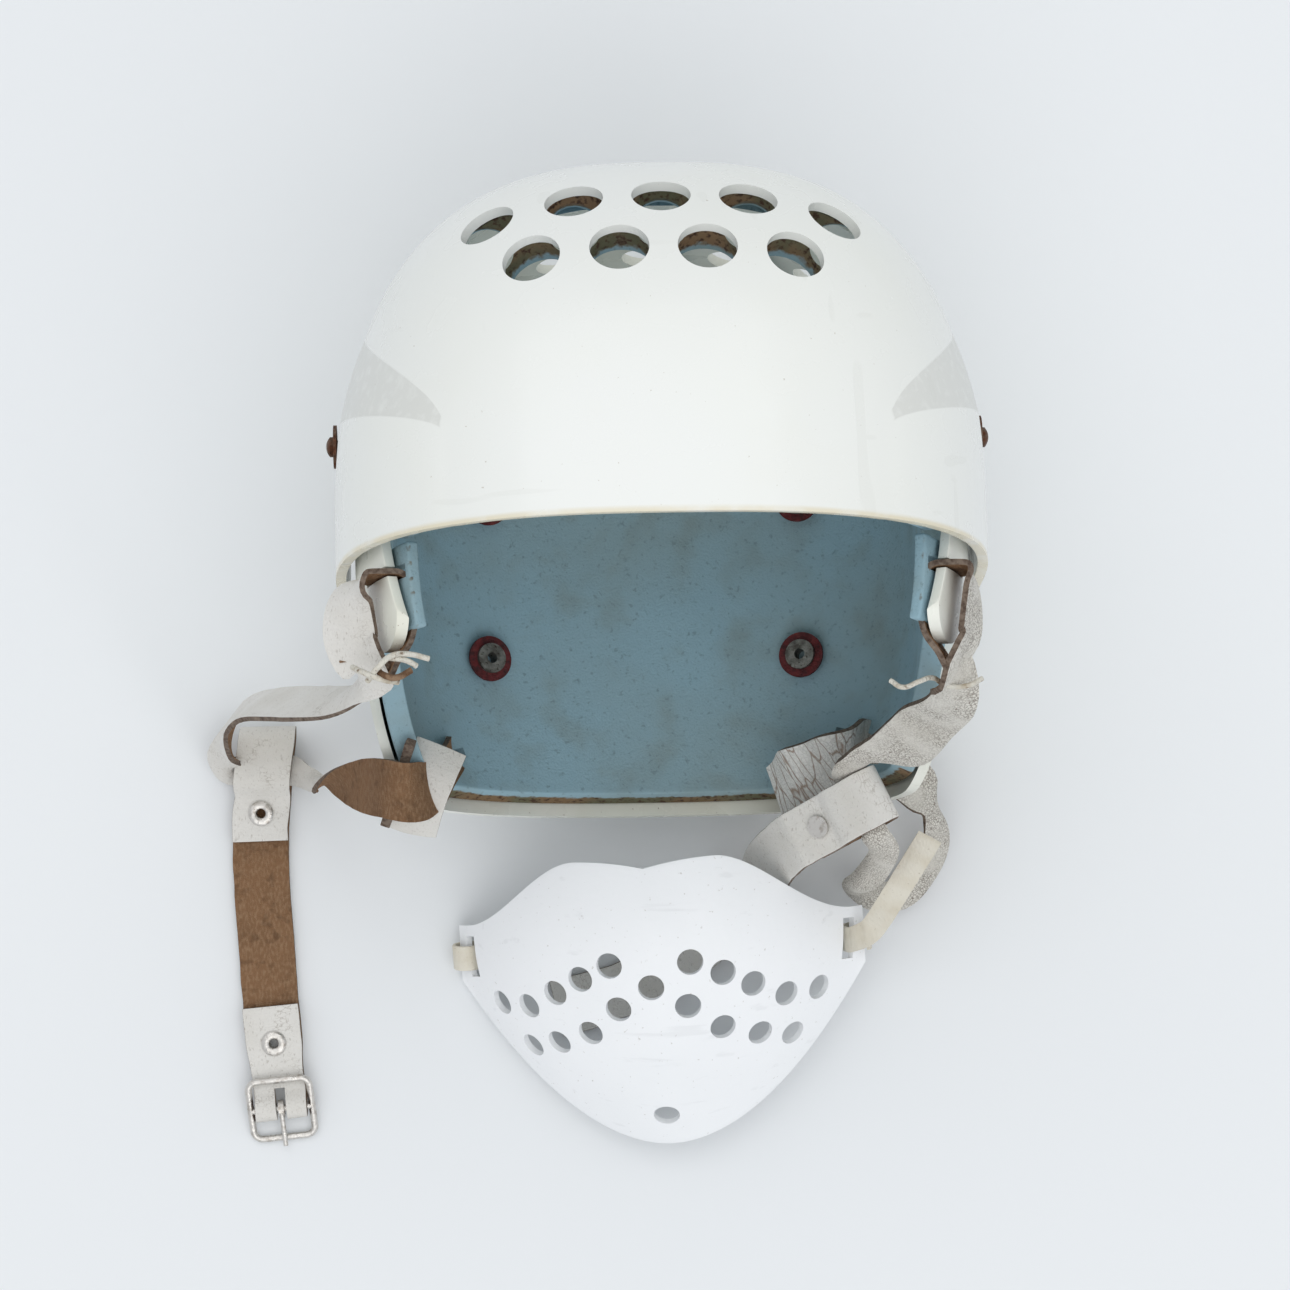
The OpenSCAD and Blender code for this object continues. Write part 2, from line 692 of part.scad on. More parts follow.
// The right chin strap: tail under the guard, up to a fold round the right side strap
right_chin_route = [
    [[-36, -146, under], [0.3, 1, 0], 1], [[-24, -143, under], [0.3, 1, 0], 1],
    [[-9, -138, under], [-0.4, 1, 0], 1], [[6, -129, 2.4], [-0.55, 0.8, 0], 1],
    [[18, -119, 8], [-0.6, 0.75, 0], 1], [[28.5, -110, 17], [-0.65, 0.75, 0], 1],
    [[33, -99.3, 33.8], [-0.6, 0.8, 0], 1],
    for (f = [[-29, pair_half - 2], [-23, pair_half], [-17, pair_half], [-11.5, pair_half], [-6, fold_half], [4, fold_half], [8, 0.6 * fold_half],
              [9.5, 0], [8, -0.6 * fold_half], [4, -fold_half], [-6, -fold_half], [-11.5, -pair_half],
              [-16, -pair_half], [-21, -pair_half]])
        [fold_centre + f[0] * fold_along + f[1] * fold_out, fold_across, 1]
];

left_lace_route = [
    [-97, -38, 186.3], [-91.5, -38, 192.3], [-84, -37, 194.8], [-77, -36, 194.6], [-70, -35, 193.3], [-64, -34, 192]
];
right_lace_route = [
    [93, -40, 175], [92.5, -42, 183], [87, -43, 187.2], [80, -43, 186.5], [74, -43, 184.5], [67, -42, 183.5]
];

eyelet_shank = 4;

module eyelet_hole(place) {
    translate([place.x, place.y, -5]) cylinder(d = eyelet_shank + 0.4, h = 20);
}

module at_fold_rivet() {
    aim(fold_centre + rivet_along * fold_along, fold_out) children();
}

module left_side_strap() {
    color([0.8, 0.79, 0.75]) laid() ribbon(left_side_route, strap_w, strap_t, 3);
}

module right_side_strap() {
    color([0.78, 0.77, 0.73]) laid() ribbon(right_side_route, strap_w, strap_t, 3);
}

module left_chin_strap() {
    color([0.55, 0.4, 0.3]) laid_beside(-1) difference() {
        ribbon(left_chin_route, strap_w, strap_t);
        eyelet_hole(left_eyelet);
        eyelet_hole(buckle_eyelet_place);
        translate(bar_place + [0, 0.7, 0]) rotate([0, 0, 5]) cube([3.4, 12, 14], center = true);
    }
}

module right_chin_strap() {
    color([0.82, 0.81, 0.77]) laid() difference() {
        ribbon(right_chin_route, strap_w, strap_t);
        at_fold_rivet() cylinder(d = eyelet_shank + 0.4, h = 12, center = true);
    }
}

module left_lace() {
    color([0.85, 0.82, 0.75]) laid_beside(-1) cord(left_lace_route, lace_d, 2, 6);
}

module right_lace() {
    color([0.85, 0.82, 0.75]) laid_beside(1) cord(right_lace_route, lace_d, 2, 6);
}

// A hollow rivet with a flange on each face of a pair of straps, its lower flange at z = low
module eyelet(low, high, d, hollow) {
    difference() {
        union() {
            translate([0, 0, low]) cylinder(d = d, h = 0.6);
            translate([0, 0, high]) cylinder(d = d, h = 0.7);
            translate([0, 0, low]) cylinder(d = eyelet_shank, h = high - low + 0.5);
        }
        if (hollow) translate([0, 0, low - 1]) cylinder(d = eyelet_shank - 1.2, h = high - low + 4);
    }
}

module left_keeper_eyelet() {
    color("silver") laid_beside(-1) translate([left_eyelet.x, left_eyelet.y, 0])
        eyelet(0, over + strap_t / 2 + 0.1, eyelet_d, true);
}

module buckle_eyelet() {
    color("silver") laid_beside(-1) translate([buckle_eyelet_place.x, buckle_eyelet_place.y, 0])
        eyelet(0, over + strap_t / 2 + 0.1, eyelet_d, true);
}

module right_keeper_rivet() {
    half = pair_half + strap_t / 2 + 0.3;
    color("silver") laid() at_fold_rivet() eyelet(-half - 0.6, half, eyelet_d - 1, false);
}

buckle_tilt = 17;

// The bar's own frame: x along the bar, y towards the strap
module at_bar() {
    laid_beside(-1) translate(bar_place) rotate([0, 0, 5]) rotate([buckle_tilt, 0, 0]) children();
}

module buckle_frame() {
    half = (buckle_size - wire_d) / 2;
    side = half - buckle_corner;
    color("silver") at_bar() union() {
        for (a = [0, 90, 180, 270])
            rotate([0, 0, a]) {
                translate([side, side, 0]) rotate_extrude(angle = 90) translate([buckle_corner, 0]) circle(d = wire_d);
                translate([half, 0, 0]) rotate([90, 0, 0]) cylinder(d = wire_d, h = 2 * side + 0.02, center = true);
            }
        rotate([0, 90, 0]) cylinder(d = wire_d, h = 2 * half, center = true);
    }
}

prong_d = 1.6;

module buckle_prong() {
    bore = wire_d / 2 + 0.2;
    eye = bore + prong_d;
    color("silver") at_bar() difference() {
        union() {
            rotate([0, 90, 0]) cylinder(r = eye, h = prong_d + 0.2, center = true);
            translate([0, 0, eye - prong_d / 2 - 0.1]) rotate([90, 0, 0]) cylinder(d = prong_d, h = buckle_size / 2 + 1);
        }
        rotate([0, 90, 0]) cylinder(r = bore, h = 4 * prong_d, center = true);
    }
}

// Chin guard: x across, y towards the lip edge, a dome over its outline
guard_turn = 2;
guard_roll = -6;
guard_place = [-1, -142, 9.4];

function ease(t) = let (u = min(max(t, 0), 1)) u * u * (3 - 2 * u);
function guard_top(x) = guard_lip - 3 * pow(max(1 - abs(x) / 24, 0), 2) - 20 * ease((abs(x) - 22) / (guard_half - 25));
function guard_low(x) = -guard_chin + (guard_chin + 8) * pow(abs(x) / guard_half, 1.9);
function guard_z(x, part) =
    guard_rise * (1 - pow(abs(x) / (guard_half + 1), 2.4)) * (1 - 0.92 * pow(1 - part, 2.6));
function guard_spot(x, part) = [x, mix(guard_low(x), guard_top(x), part), guard_z(x, part)];

function guard_normal(x, part) =
    let (
        e = 0.02,
        a = guard_spot(x + e, part) - guard_spot(x - e, part),
        b = guard_spot(x, part + e) - guard_spot(x, part - e)
    )
    unit(cross(a, b));

function part_at(x, y) = (y - guard_low(x)) / (guard_top(x) - guard_low(x));

guard_holes = [
    [0, 5.5], [0, -37],
    for (side = [-1, 1])
        for (h = [[12.8, 13], [22.6, 9], [31.4, 4.7], [41, 0.5], [50.7, 1.4],
                  [11, -1], [21, -8.5], [32, -11.5], [41.5, -12.7]])
            [side * h[0], h[1]]
];

module at_guard() {
    laid() translate(guard_place) rotate([0, 0, guard_turn]) rotate([0, guard_roll, 0]) children();
}

// The slot at each end leaves a bar that a band goes round
guard_bar = 5;
guard_slot = [5.4, band_w + 5];
hang_y = 16;
hang_x = guard_half - 1.5;
band_clearance = 1;
band_radius = norm([guard_bar, guard_t]) / 2 + band_clearance + band_t / 2;

function end_normal() = guard_normal(hang_x, part_at(hang_x, hang_y));
function end_angle() = let (n = end_normal()) atan2(n.x, n.z);
function end_middle() = guard_spot(hang_x, part_at(hang_x, hang_y)) - guard_t / 2 * end_normal();

function end_along() =
    let (part = part_at(hang_x, hang_y))
    unit(guard_spot(hang_x, part + 0.1) - guard_spot(hang_x, part - 0.1));

// A direction and a point of the guard's own frame, seen from the table
function guard_way(p) =
    let (
        q = [p.x * cos(guard_roll) + p.z * sin(guard_roll), p.y, p.z * cos(guard_roll) - p.x * sin(guard_roll)]
    )
    [q.x * cos(guard_turn) - q.y * sin(guard_turn), q.x * sin(guard_turn) + q.y * cos(guard_turn), q.z];
function guard_to_table(p) = guard_place + guard_way(p);

module guard_slots() {
    for (side = [-1, 1])
        scale_side(side) translate(end_middle()) rotate([0, end_angle(), 0])
            translate([-(guard_bar + guard_slot[0]) / 2, 0, 0]) cube([guard_slot[0], guard_slot[1], 20], center = true);
}

module left_guard_band() {
    color([0.86, 0.84, 0.8]) at_guard() scale_side(-1) aim(end_middle(), end_along()) difference() {
        cylinder(r = band_radius + band_t / 2, h = band_w, center = true);
        cylinder(r = band_radius - band_t / 2, h = band_w + 2, center = true);
    }
}

right_band_route = [
    for (a = [30 : -40 : -250])
        [guard_to_table(end_middle() + band_radius * (cos(a) * [1, 0, 0] + sin(a) * cross([1, 0, 0], end_along()))),
         guard_way(end_along()), 1],
    [guard_to_table(end_middle() + [4, 1.5, band_radius + 4]), [-0.2, 1, 0], 1],
    each moved([
        [[67, -118, 31], [-0.6, 0.8, 0], 1], [[72, -109, 42], [-0.85, 0.5, 0], 1],
        [[77, -100, 52], [-0.85, 0.5, 0], 1], [[82, -91, 62], [-0.85, 0.5, 0], 1]
    ], spread)
];

module right_guard_band() {
    color([0.86, 0.84, 0.8]) laid() ribbon(right_band_route, band_w, band_t, 3);
}

module chin_guard() {
    rows = 12;
    cols = 30;
    xs = [for (c = [0 : cols]) guard_half * sin(90 * mix(-1, 1, c / cols) * 0.999)];
    parts = [for (r = [0 : rows]) r / rows];
    outer = [for (r = parts, x = xs) guard_spot(x, r)];
    inner = [for (r = parts, x = xs) guard_spot(x, r) - guard_t * guard_normal(x, max(min(r, 0.97), 0.03))];
    color([0.9, 0.92, 0.94]) at_guard() difference() {
        polyhedron(concat(inner, outer), plate_faces(rows, cols), convexity = 6);
        for (h = guard_holes)
            let (r = part_at(h[0], h[1]))
                aim(guard_spot(h[0], r), guard_normal(h[0], r)) cylinder(d = guard_hole_d, h = 14, center = true);
        guard_slots();
    }
}

front_shell();
front_liner();
rear_shell();
rear_liner();
left_temple_pad();
right_temple_pad();
left_size_screw();
right_size_screw();
left_screw_washer();
right_screw_washer();
left_screw_nut();
right_screw_nut();
liner_rivets();
fibre_rings();
left_side_strap();
right_side_strap();
left_chin_strap();
right_chin_strap();
left_lace();
right_lace();
left_keeper_eyelet();
right_keeper_rivet();
buckle_eyelet();
buckle_frame();
buckle_prong();
chin_guard();
left_guard_band();
right_guard_band();
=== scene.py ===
import math

import bmesh
import bpy
from mathutils import Matrix, Vector, noise


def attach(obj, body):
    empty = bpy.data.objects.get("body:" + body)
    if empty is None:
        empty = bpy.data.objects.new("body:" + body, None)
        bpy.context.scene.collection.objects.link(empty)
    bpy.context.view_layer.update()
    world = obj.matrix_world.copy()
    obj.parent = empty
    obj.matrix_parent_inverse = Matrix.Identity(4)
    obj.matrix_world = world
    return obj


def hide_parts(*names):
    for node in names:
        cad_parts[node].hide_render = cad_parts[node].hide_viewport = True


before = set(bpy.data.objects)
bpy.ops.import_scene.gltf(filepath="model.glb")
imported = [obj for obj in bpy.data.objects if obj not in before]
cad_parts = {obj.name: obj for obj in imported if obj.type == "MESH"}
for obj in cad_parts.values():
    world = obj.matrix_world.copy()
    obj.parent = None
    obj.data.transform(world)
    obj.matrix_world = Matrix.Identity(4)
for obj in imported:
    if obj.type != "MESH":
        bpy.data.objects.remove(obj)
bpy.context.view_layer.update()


scene = bpy.context.scene
camera_height = 1.6
camera_turn = math.radians(-1.2)
lens = bpy.data.cameras.new("camera")
lens.sensor_width = 36
lens.lens = 138.42
camera = bpy.data.objects.new("camera", lens)
camera.location = (0.01948, 0.008912, camera_height)
camera.rotation_euler = (0, 0, camera_turn)
scene.collection.objects.link(camera)
scene.camera = camera
scene.view_settings.view_transform = "Standard"


def paint(red, green, blue):
    """A colour given as it looks on screen, 0 to 255, as the shader takes it."""
    shares = [value / 255 for value in (red, green, blue)]
    return [s / 12.92 if s < 0.04045 else ((s + 0.055) / 1.055) ** 2.4 for s in shares] + [1.0]


class Finish:
    """A finish built up in layers, as the real surface is: body colour, stains, wear and relief."""

    def __init__(self, name, colour, roughness, metal=0.0, shine=0.5):
        self.material = bpy.data.materials.new(name)
        self.material.use_nodes = True
        self.nodes = self.material.node_tree.nodes
        self.links = self.material.node_tree.links
        self.shader = self.nodes["Principled BSDF"]
        self.coat = paint(*colour)
        self.shader.inputs["Base Color"].default_value = self.coat
        self.shader.inputs["Roughness"].default_value = roughness
        self.shader.inputs["Metallic"].default_value = metal
        self.shader.inputs["Specular IOR Level"].default_value = shine
        self.relief_so_far = None

    def place(self, stretch, follows):
        where = self.nodes.new("ShaderNodeTexCoord")
        mapping = self.nodes.new("ShaderNodeMapping")
        mapping.inputs["Scale"].default_value = stretch
        self.links.new(where.outputs[follows], mapping.inputs["Vector"])
        return mapping.outputs["Vector"]

    def ramp(self, value, ends, low, high):
        """A straight run with low and high at its From or its To ends."""
        line = self.nodes.new("ShaderNodeMapRange")
        line.inputs[ends + " Min"].default_value = low
        line.inputs[ends + " Max"].default_value = high
        self.links.new(value, line.inputs["Value"])
        return line.outputs["Result"]

    def share(self, value, low, high):
        """0 where the value is low, 1 where it is high."""
        return self.ramp(value, "From", low, high)

    def grain(self, scale, low=0.4, high=0.6, detail=5, stretch=(1, 1, 1)):
        """Soft uneven patches, from 0 to 1."""
        texture = self.nodes.new("ShaderNodeTexNoise")
        texture.inputs["Scale"].default_value = scale
        texture.inputs["Detail"].default_value = detail
        self.links.new(self.place(stretch, "Object"), texture.inputs["Vector"])
        return self.share(texture.outputs["Fac"], low, high)

    def cracks(self, scale, low, high, stretch):
        """1 in the cracks between cells, 0 on the cells."""
        texture = self.nodes.new("ShaderNodeTexVoronoi")
        texture.feature = "DISTANCE_TO_EDGE"
        texture.inputs["Scale"].default_value = scale
        bent = self.nodes.new("ShaderNodeTexNoise")
        bent.inputs["Scale"].default_value = scale * 1.4
        spot = self.place(stretch, "UV")
        self.links.new(spot, bent.inputs["Vector"])
        shift = self.nodes.new("ShaderNodeVectorMath")
        shift.operation = "MULTIPLY_ADD"
        shift.inputs[1].default_value = [0.5 / scale] * 3
        self.links.new(bent.outputs["Color"], shift.inputs[0])
        self.links.new(spot, shift.inputs[2])
        self.links.new(shift.outputs["Vector"], texture.inputs["Vector"])
        return self.share(texture.outputs["Distance"], high, low)

    def marked(self, name, low=0.0, high=1.0):
        """Where the piece's own attribute says so."""
        mark = self.nodes.new("ShaderNodeAttribute")
        mark.attribute_name = name
        return self.share(mark.outputs["Fac"], low, high)

    def along(self, low, high):
        """0 before a strap has run so many metres, and 1 after."""
        where = self.nodes.new("ShaderNodeTexCoord")
        parts = self.nodes.new("ShaderNodeSeparateXYZ")
        self.links.new(where.outputs["UV"], parts.inputs["Vector"])
        return self.share(parts.outputs["X"], low, high)

    def both(self, one, other, how="MULTIPLY"):
        """Two shares, multiplied or added."""
        joined = self.nodes.new("ShaderNodeMath")
        joined.operation = how
        joined.use_clamp = True
        for socket, value in zip(joined.inputs, (one, other)):
            if isinstance(value, (int, float)):
                socket.default_value = value
            else:
                self.links.new(value, socket)
        return joined.outputs[0]

    def stain(self, where, colour):
        """Lays a colour over the coat so far."""
        mix = self.nodes.new("ShaderNodeMix")
        mix.data_type = "RGBA"
        self.links.new(where, mix.inputs[0])
        if isinstance(self.coat, list):
            mix.inputs[6].default_value = self.coat
        else:
            self.links.new(self.coat, mix.inputs[6])
        mix.inputs[7].default_value = paint(*colour)
        self.coat = mix.outputs[2]
        self.links.new(self.coat, self.shader.inputs["Base Color"])

    def rub(self, where, low, high):
        """Roughness from low to high."""
        self.links.new(self.ramp(where, "To", low, high), self.shader.inputs["Roughness"])

    def relief(self, where, depth, strength=1.0, inward=False):
        bump = self.nodes.new("ShaderNodeBump")
        bump.inputs["Distance"].default_value = depth
        bump.inputs["Strength"].default_value = strength
        bump.invert = inward
        self.links.new(where, bump.inputs["Height"])
        if self.relief_so_far is not None:
            self.links.new(self.relief_so_far, bump.inputs["Normal"])
        self.relief_so_far = bump.outputs["Normal"]
        self.links.new(self.relief_so_far, self.shader.inputs["Normal"])

    def patches(self, colour, amount, *grain):
        """Stains patches of a grain, all the way where the amount is 1."""
        where = self.grain(*grain)
        self.stain(where if amount == 1 else self.both(where, amount), colour)

    def worn(self, low, high, *grain):
        """Roughness that goes with a grain."""
        self.rub(self.grain(*grain), low, high)

    def pitted(self, depth, strength, *grain):
        """Relief that goes with a grain, so many metres deep."""
        self.relief(self.grain(*grain), depth, strength)


def piece_of(name, bm):
    mesh = bpy.data.meshes.new(name)
    bm.to_mesh(mesh)
    bm.free()
    piece = bpy.data.objects.new(name, mesh)
    scene.collection.objects.link(piece)
    return piece


table_bm = bmesh.new()
bmesh.ops.create_grid(table_bm, x_segments=1, y_segments=1, size=3.0)
table_top = piece_of("table_top", table_bm)
table_paper = Finish("table_paper", (233, 236, 238), 0.8, shine=0.1)
table_paper.patches((230, 233, 236), 0.3, 2.2, 0.35, 0.75, 2)
table_top.data.materials.append(table_paper.material)

studio = bpy.data.worlds.new("studio")
studio.use_nodes = True
scene.world = studio
tree = studio.node_tree
glow = tree.nodes["Background"]
glow.inputs["Color"].default_value = (0.95, 0.97, 1.0, 1)
path = tree.nodes.new("ShaderNodeLightPath")
seen = tree.nodes.new("ShaderNodeMath")
seen.operation = "MAXIMUM"
tree.links.new(path.outputs["Is Camera Ray"], seen.inputs[0])
tree.links.new(path.outputs["Is Transmission Ray"], seen.inputs[1])
strength = tree.nodes.new("ShaderNodeMapRange")
strength.inputs["To Min"].default_value = 0.72
strength.inputs["To Max"].default_value = 1.0
tree.links.new(seen.outputs[0], strength.inputs["Value"])
tree.links.new(strength.outputs["Result"], glow.inputs["Strength"])


def soft_lamp(name, place, target, size, power):
    lamp = bpy.data.lights.new(name, "AREA")
    lamp.shape = "RECTANGLE"
    lamp.size, lamp.size_y = size
    lamp.energy = power
    lamp.color = (1.0, 0.99, 0.975)
    holder = bpy.data.objects.new(name, lamp)
    holder.location = place
    holder.rotation_euler = (Vector(target) - Vector(place)).to_track_quat("-Z", "Y").to_euler()
    scene.collection.objects.link(holder)


soft_lamp("window", place=(-0.1, 1.0, 1.85), target=(0.0, 0.0, 0.05), size=(2.2, 1.8), power=9)
soft_lamp("fill", place=(0.25, -0.95, 1.85), target=(0.0, 0.0, 0.1), size=(1.9, 1.6), power=11.5)


# Front shell
# The forehead and crown of the helmet: polyethylene, injection moulded 3 mm thick, glossy white gone
# slightly yellow, with a rounded lip, a stepped band over each ear and nine drilled-out air vents.
middle_x, middle_y, middle_z = 0.02448, 0.038312, 0.11642
from_millimetres = Matrix.Scale(0.001, 4)
lying = (
    Matrix.Translation((middle_x, middle_y, middle_z))
    @ Matrix.Rotation(math.radians(-10), 4, "X")
    @ Matrix.Rotation(math.radians(1.5), 4, "Y")
    @ from_millimetres
)
form_power = 2.65
half_width, crown_height, skirt_depth = 94.5, 110, 112
front_depth, rear_depth, straight_back = 112, 77, 40
wall = 3


def form_at(spot):
    """Height, run along the head and depth of the form in the spot's own quarter."""
    tall = crown_height if spot.y > 0 else skirt_depth
    along = spot.z if spot.z > 0 else min(spot.z + straight_back, 0)
    deep = front_depth if spot.z > 0 else rear_depth
    return tall, along, deep


def fullness(spot, grown):
    """1 on the head form grown by that many millimetres; x across, y to the crown, z forward."""
    tall, along, deep = form_at(spot)
    return (
        (abs(spot.x) / (half_width + grown)) ** form_power
        + (abs(spot.y) / (tall + grown)) ** form_power
        + (abs(along) / (deep + grown)) ** form_power
    )


def on_form(start, way, grown):
    """Where a line from the start leaves the grown form, by halving."""
    near, far = 0.0, 260.0
    for halving in range(24):
        middle = (near + far) / 2
        if fullness(start + middle * way, grown) < 1:
            near = middle
        else:
            far = middle
    return start + near * way


def fan(pivot_z, pivot_y, lean, side, grown):
    """A spot on the grown form, seen from a pivot in the middle plane."""
    lean, side = math.radians(lean), math.radians(side)
    way = Vector((math.sin(side), math.cos(side) * math.sin(lean), math.cos(side) * math.cos(lean)))
    return on_form(Vector((0, pivot_y, pivot_z)), way, grown)


def outward(spot):
    tall, along, deep = form_at(spot)
    n = form_power - 1
    return Vector((
        math.copysign((abs(spot.x) / half_width) ** n / half_width, spot.x),
        math.copysign((abs(spot.y) / tall) ** n / tall, spot.y),
        math.copysign((abs(along) / deep) ** n / deep, along),
    )).normalized()


def mix(a, b, t):
    return a + (b - a) * t


ridge_tip_z, ridge_tip_y = 96, 14


def ear_ridges(z):
    """How far back of the tip that both ridges over the ear share, and how high each is there."""
    run = math.sqrt(max(ridge_tip_z - z, 0))
    return run, ridge_tip_y + 2.2 * run, ridge_tip_y + 5.4 * run


def ear_band(spot):
    """How far the lower side band stands out."""
    run, low, high = ear_ridges(spot.z)
    if run == 0:
        return 0
    part = min(max((high - spot.y) / (high - low), 0), 1)
    return 2 * part * min(run / 6, 1)


front_edge_y = -12


def front_place(u, v):
    """The front shell from its lower lip to its rear edge, round a pivot that runs back."""
    bend_from, bend_radius = 0.7, 15
    straight_part = min(v / bend_from, 1)
    bend = math.radians(90 * max((v - bend_from) / 0.3, 0))
    pivot_z = mix(64, -23, straight_part) - bend_radius * math.sin(bend)
    pivot_y = front_edge_y + bend_radius * (1 - math.cos(bend))
    spot = fan(pivot_z, pivot_y, 90 * v, mix(-90, 90, u), 0)
    side_way = Vector((spot.x, 0.3 * spot.y, 0.3 * spot.z)).normalized()
    return spot + ear_band(spot) * side_way


def moulding(name, columns, rows, place, centre, wall, lip, to_table):
    """A sheet laid out by place(u, v), given its wall on the inside and a rounded lip all round."""
    bm = bmesh.new()
    bmesh.ops.create_grid(bm, x_segments=columns, y_segments=rows, size=0.5)
    for vert in bm.verts:
        vert.co = place(vert.co.x + 0.5, vert.co.y + 0.5)
    bm.normal_update()
    facing = sum(face.normal.dot(face.calc_center_median() - Vector(centre)) for face in bm.faces)
    if facing < 0:
        bmesh.ops.reverse_faces(bm, faces=bm.faces)
    bm.transform(to_table)
    piece = piece_of(name, bm)
    solid = piece.modifiers.new("wall", "SOLIDIFY")
    solid.thickness = wall / 1000
    solid.offset = -1
    rounding = piece.modifiers.new("lip", "BEVEL")
    rounding.width = lip / 1000
    rounding.segments = 3
    rounding.limit_method = "ANGLE"
    rounding.angle_limit = math.radians(50)
    return made_real(piece)


def made_real(piece, sharp=38):
    """Applies the piece's modifiers and shades it smooth between its sharp edges."""
    graph = bpy.context.evaluated_depsgraph_get()
    mesh = bpy.data.meshes.new_from_object(piece.evaluated_get(graph))
    piece.modifiers.clear()
    old = piece.data
    piece.data = mesh
    bpy.data.meshes.remove(old)
    mesh.polygons.foreach_set("use_smooth", [True] * len(mesh.polygons))
    mesh.set_sharp_from_angle(angle=math.radians(sharp))
    return piece


def drill(bm, place, way, diameter, depth=60, sides=56):
    turn = way.to_track_quat("Z", "Y").to_matrix().to_4x4()
    bmesh.ops.create_cone(
        bm, cap_ends=True, segments=sides, radius1=diameter / 2, radius2=diameter / 2, depth=depth,
        matrix=Matrix.Translation(place) @ turn,
    )


def cut(piece, tool_bm, to_table):
    tool_bm.transform(to_table)
    tool = piece_of("cutting_tool", tool_bm)
    cutting = piece.modifiers.new("cut", "BOOLEAN")
    cutting.operation = "DIFFERENCE"
    cutting.solver = "EXACT"
    cutting.object = tool
    made_real(piece)
    bpy.data.objects.remove(tool)


def vent_row(count, pitch, tilt):
    way = Vector((0, math.sin(math.radians(tilt)), math.cos(math.radians(tilt))))
    return [on_form(Vector(((i - (count - 1) / 2) * pitch, 0, 0)), way, 0) for i in range(count)]


vent_width, screw_hole = 17, 4.6
screw_level, screw_z = 31, 4
front_vents = vent_row(5, 25, 45) + vent_row(4, 25, 34)
rear_vents = vent_row(5, 28, 116) + vent_row(4, 28, 127)


def fit(piece, body, node, slot, *finishes):
    """Gives the piece its finishes and puts it on its body, for its solid."""
    if not piece.data.materials:
        for finish in finishes:
            piece.data.materials.append(finish.material)
    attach(piece, body)
    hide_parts(node)


front_shell = moulding("moulded_front_shell", 132, 84, front_place, (0, 0, 0), wall, 0.9, lying)
holes = bmesh.new()
for vent in front_vents:
    drill(holes, vent, outward(vent), vent_width)
for side in (-1, 1):
    drill(holes, Vector((side * half_width, screw_level, screw_z)), Vector((1, 0, 0)), screw_hole, 30, 32)
cut(front_shell, holes, lying)

shell_white = Finish("front_shell_white", (235, 237, 234), 0.2, shine=0.5)
shell_white.patches((233, 235, 226), 0.5, 9, 0.38, 0.72, 3)
shell_white.patches((230, 231, 221), 0.3, 26, 0.5, 0.8, 4)
shell_specks = shell_white.grain(700, 0.745, 0.78, 2)
shell_white.stain(shell_white.both(shell_specks, 0.45), (160, 148, 126))
shell_scratches = shell_white.both(
    shell_white.grain(160, 0.70, 0.72, 1, (1, 0.03, 0.4)),
    shell_white.grain(140, 0.71, 0.73, 1, (0.05, 0.9, 0.4)), "ADD",
)
shell_white.stain(shell_white.both(shell_scratches, 0.12), (206, 207, 200))
# The slanted facet over each ear is stained a grainy grey: some dust, and painted shade for a face turned
# from the light.
facet = shell_white.marked("ridge", 0.5, 0.52)
ridge_dust_and_shade = shell_white.both(facet, shell_white.grain(300, 0.0, 0.5, 5))
shell_white.stain(shell_white.both(ridge_dust_and_shade, 0.6), (206, 207, 202))
shell_white.rub(shell_white.both(shell_white.grain(60, 0.3, 0.75, 6), ridge_dust_and_shade, "ADD"), 0.16, 0.36)
shell_white.pitted(0.0006, 0.2, 34, 0.2, 0.8, 2)
shell_white.relief(shell_scratches, 0.0001, 0.4, inward=True)
yellowed = shell_white.both(shell_white.marked("lip"), shell_white.grain(90, 0.15, 0.5, 4))
shell_white.stain(shell_white.both(yellowed, 0.85), (222, 213, 186))
from_table = lying.inverted()


def marked_piece(piece, name, share_at):
    """Marks each point of a piece with a share from 0 to 1, for its dirt, its wear, its painted shadow and
    the parts of its form.
    """
    mark = piece.data.attributes.new(name, "FLOAT", "POINT")
    mark.data.foreach_set("value", [share_at(from_table @ vert.co) for vert in piece.data.vertices])


def on_ridge(spot):
    """Over a half on the slanted face between the forehead and the band over the ear."""
    run, low, high = ear_ridges(spot.z)
    inside = min(spot.y - low, high - spot.y, ridge_tip_z - spot.z)
    return min(max(0.5 + inside / 20, 0), 1)


marked_piece(front_shell, "ridge", on_ridge)
marked_piece(front_shell, "lip", lambda spot: min(max(front_edge_y + 1.6 - spot.y, 0), 1))
fit(front_shell, "front", "front_shell", "front_shell", shell_white)


# Front liner
# The foam inside the forehead and crown: blue closed-cell foam, 8 mm thick, glued behind the shell
# and punched through at the vents, where its cut walls have gone brown with dirt and sweat.
def front_liner_place(u, v):
    behind_shell = -3.2
    return fan(mix(84, 66, v), -9, 92 * v, mix(-90, 90, u), behind_shell)


front_liner = moulding("foam_front_liner", 96, 60, front_liner_place, (0, 0, 0), 7.7, 1.2, lying)
holes = bmesh.new()
for vent in front_vents:
    drill(holes, vent, outward(vent), 19)
cut(front_liner, holes, lying)
slanted = Vector((0.02, 0.176, -0.984))
holes = bmesh.new()
for vent in front_vents[:5]:
    drill(holes, vent + Vector((0, -8.2, 0)), slanted, 16, 50)
cut(front_liner, holes, lying)


hole_edge, dirt_depth = 9.4, 13


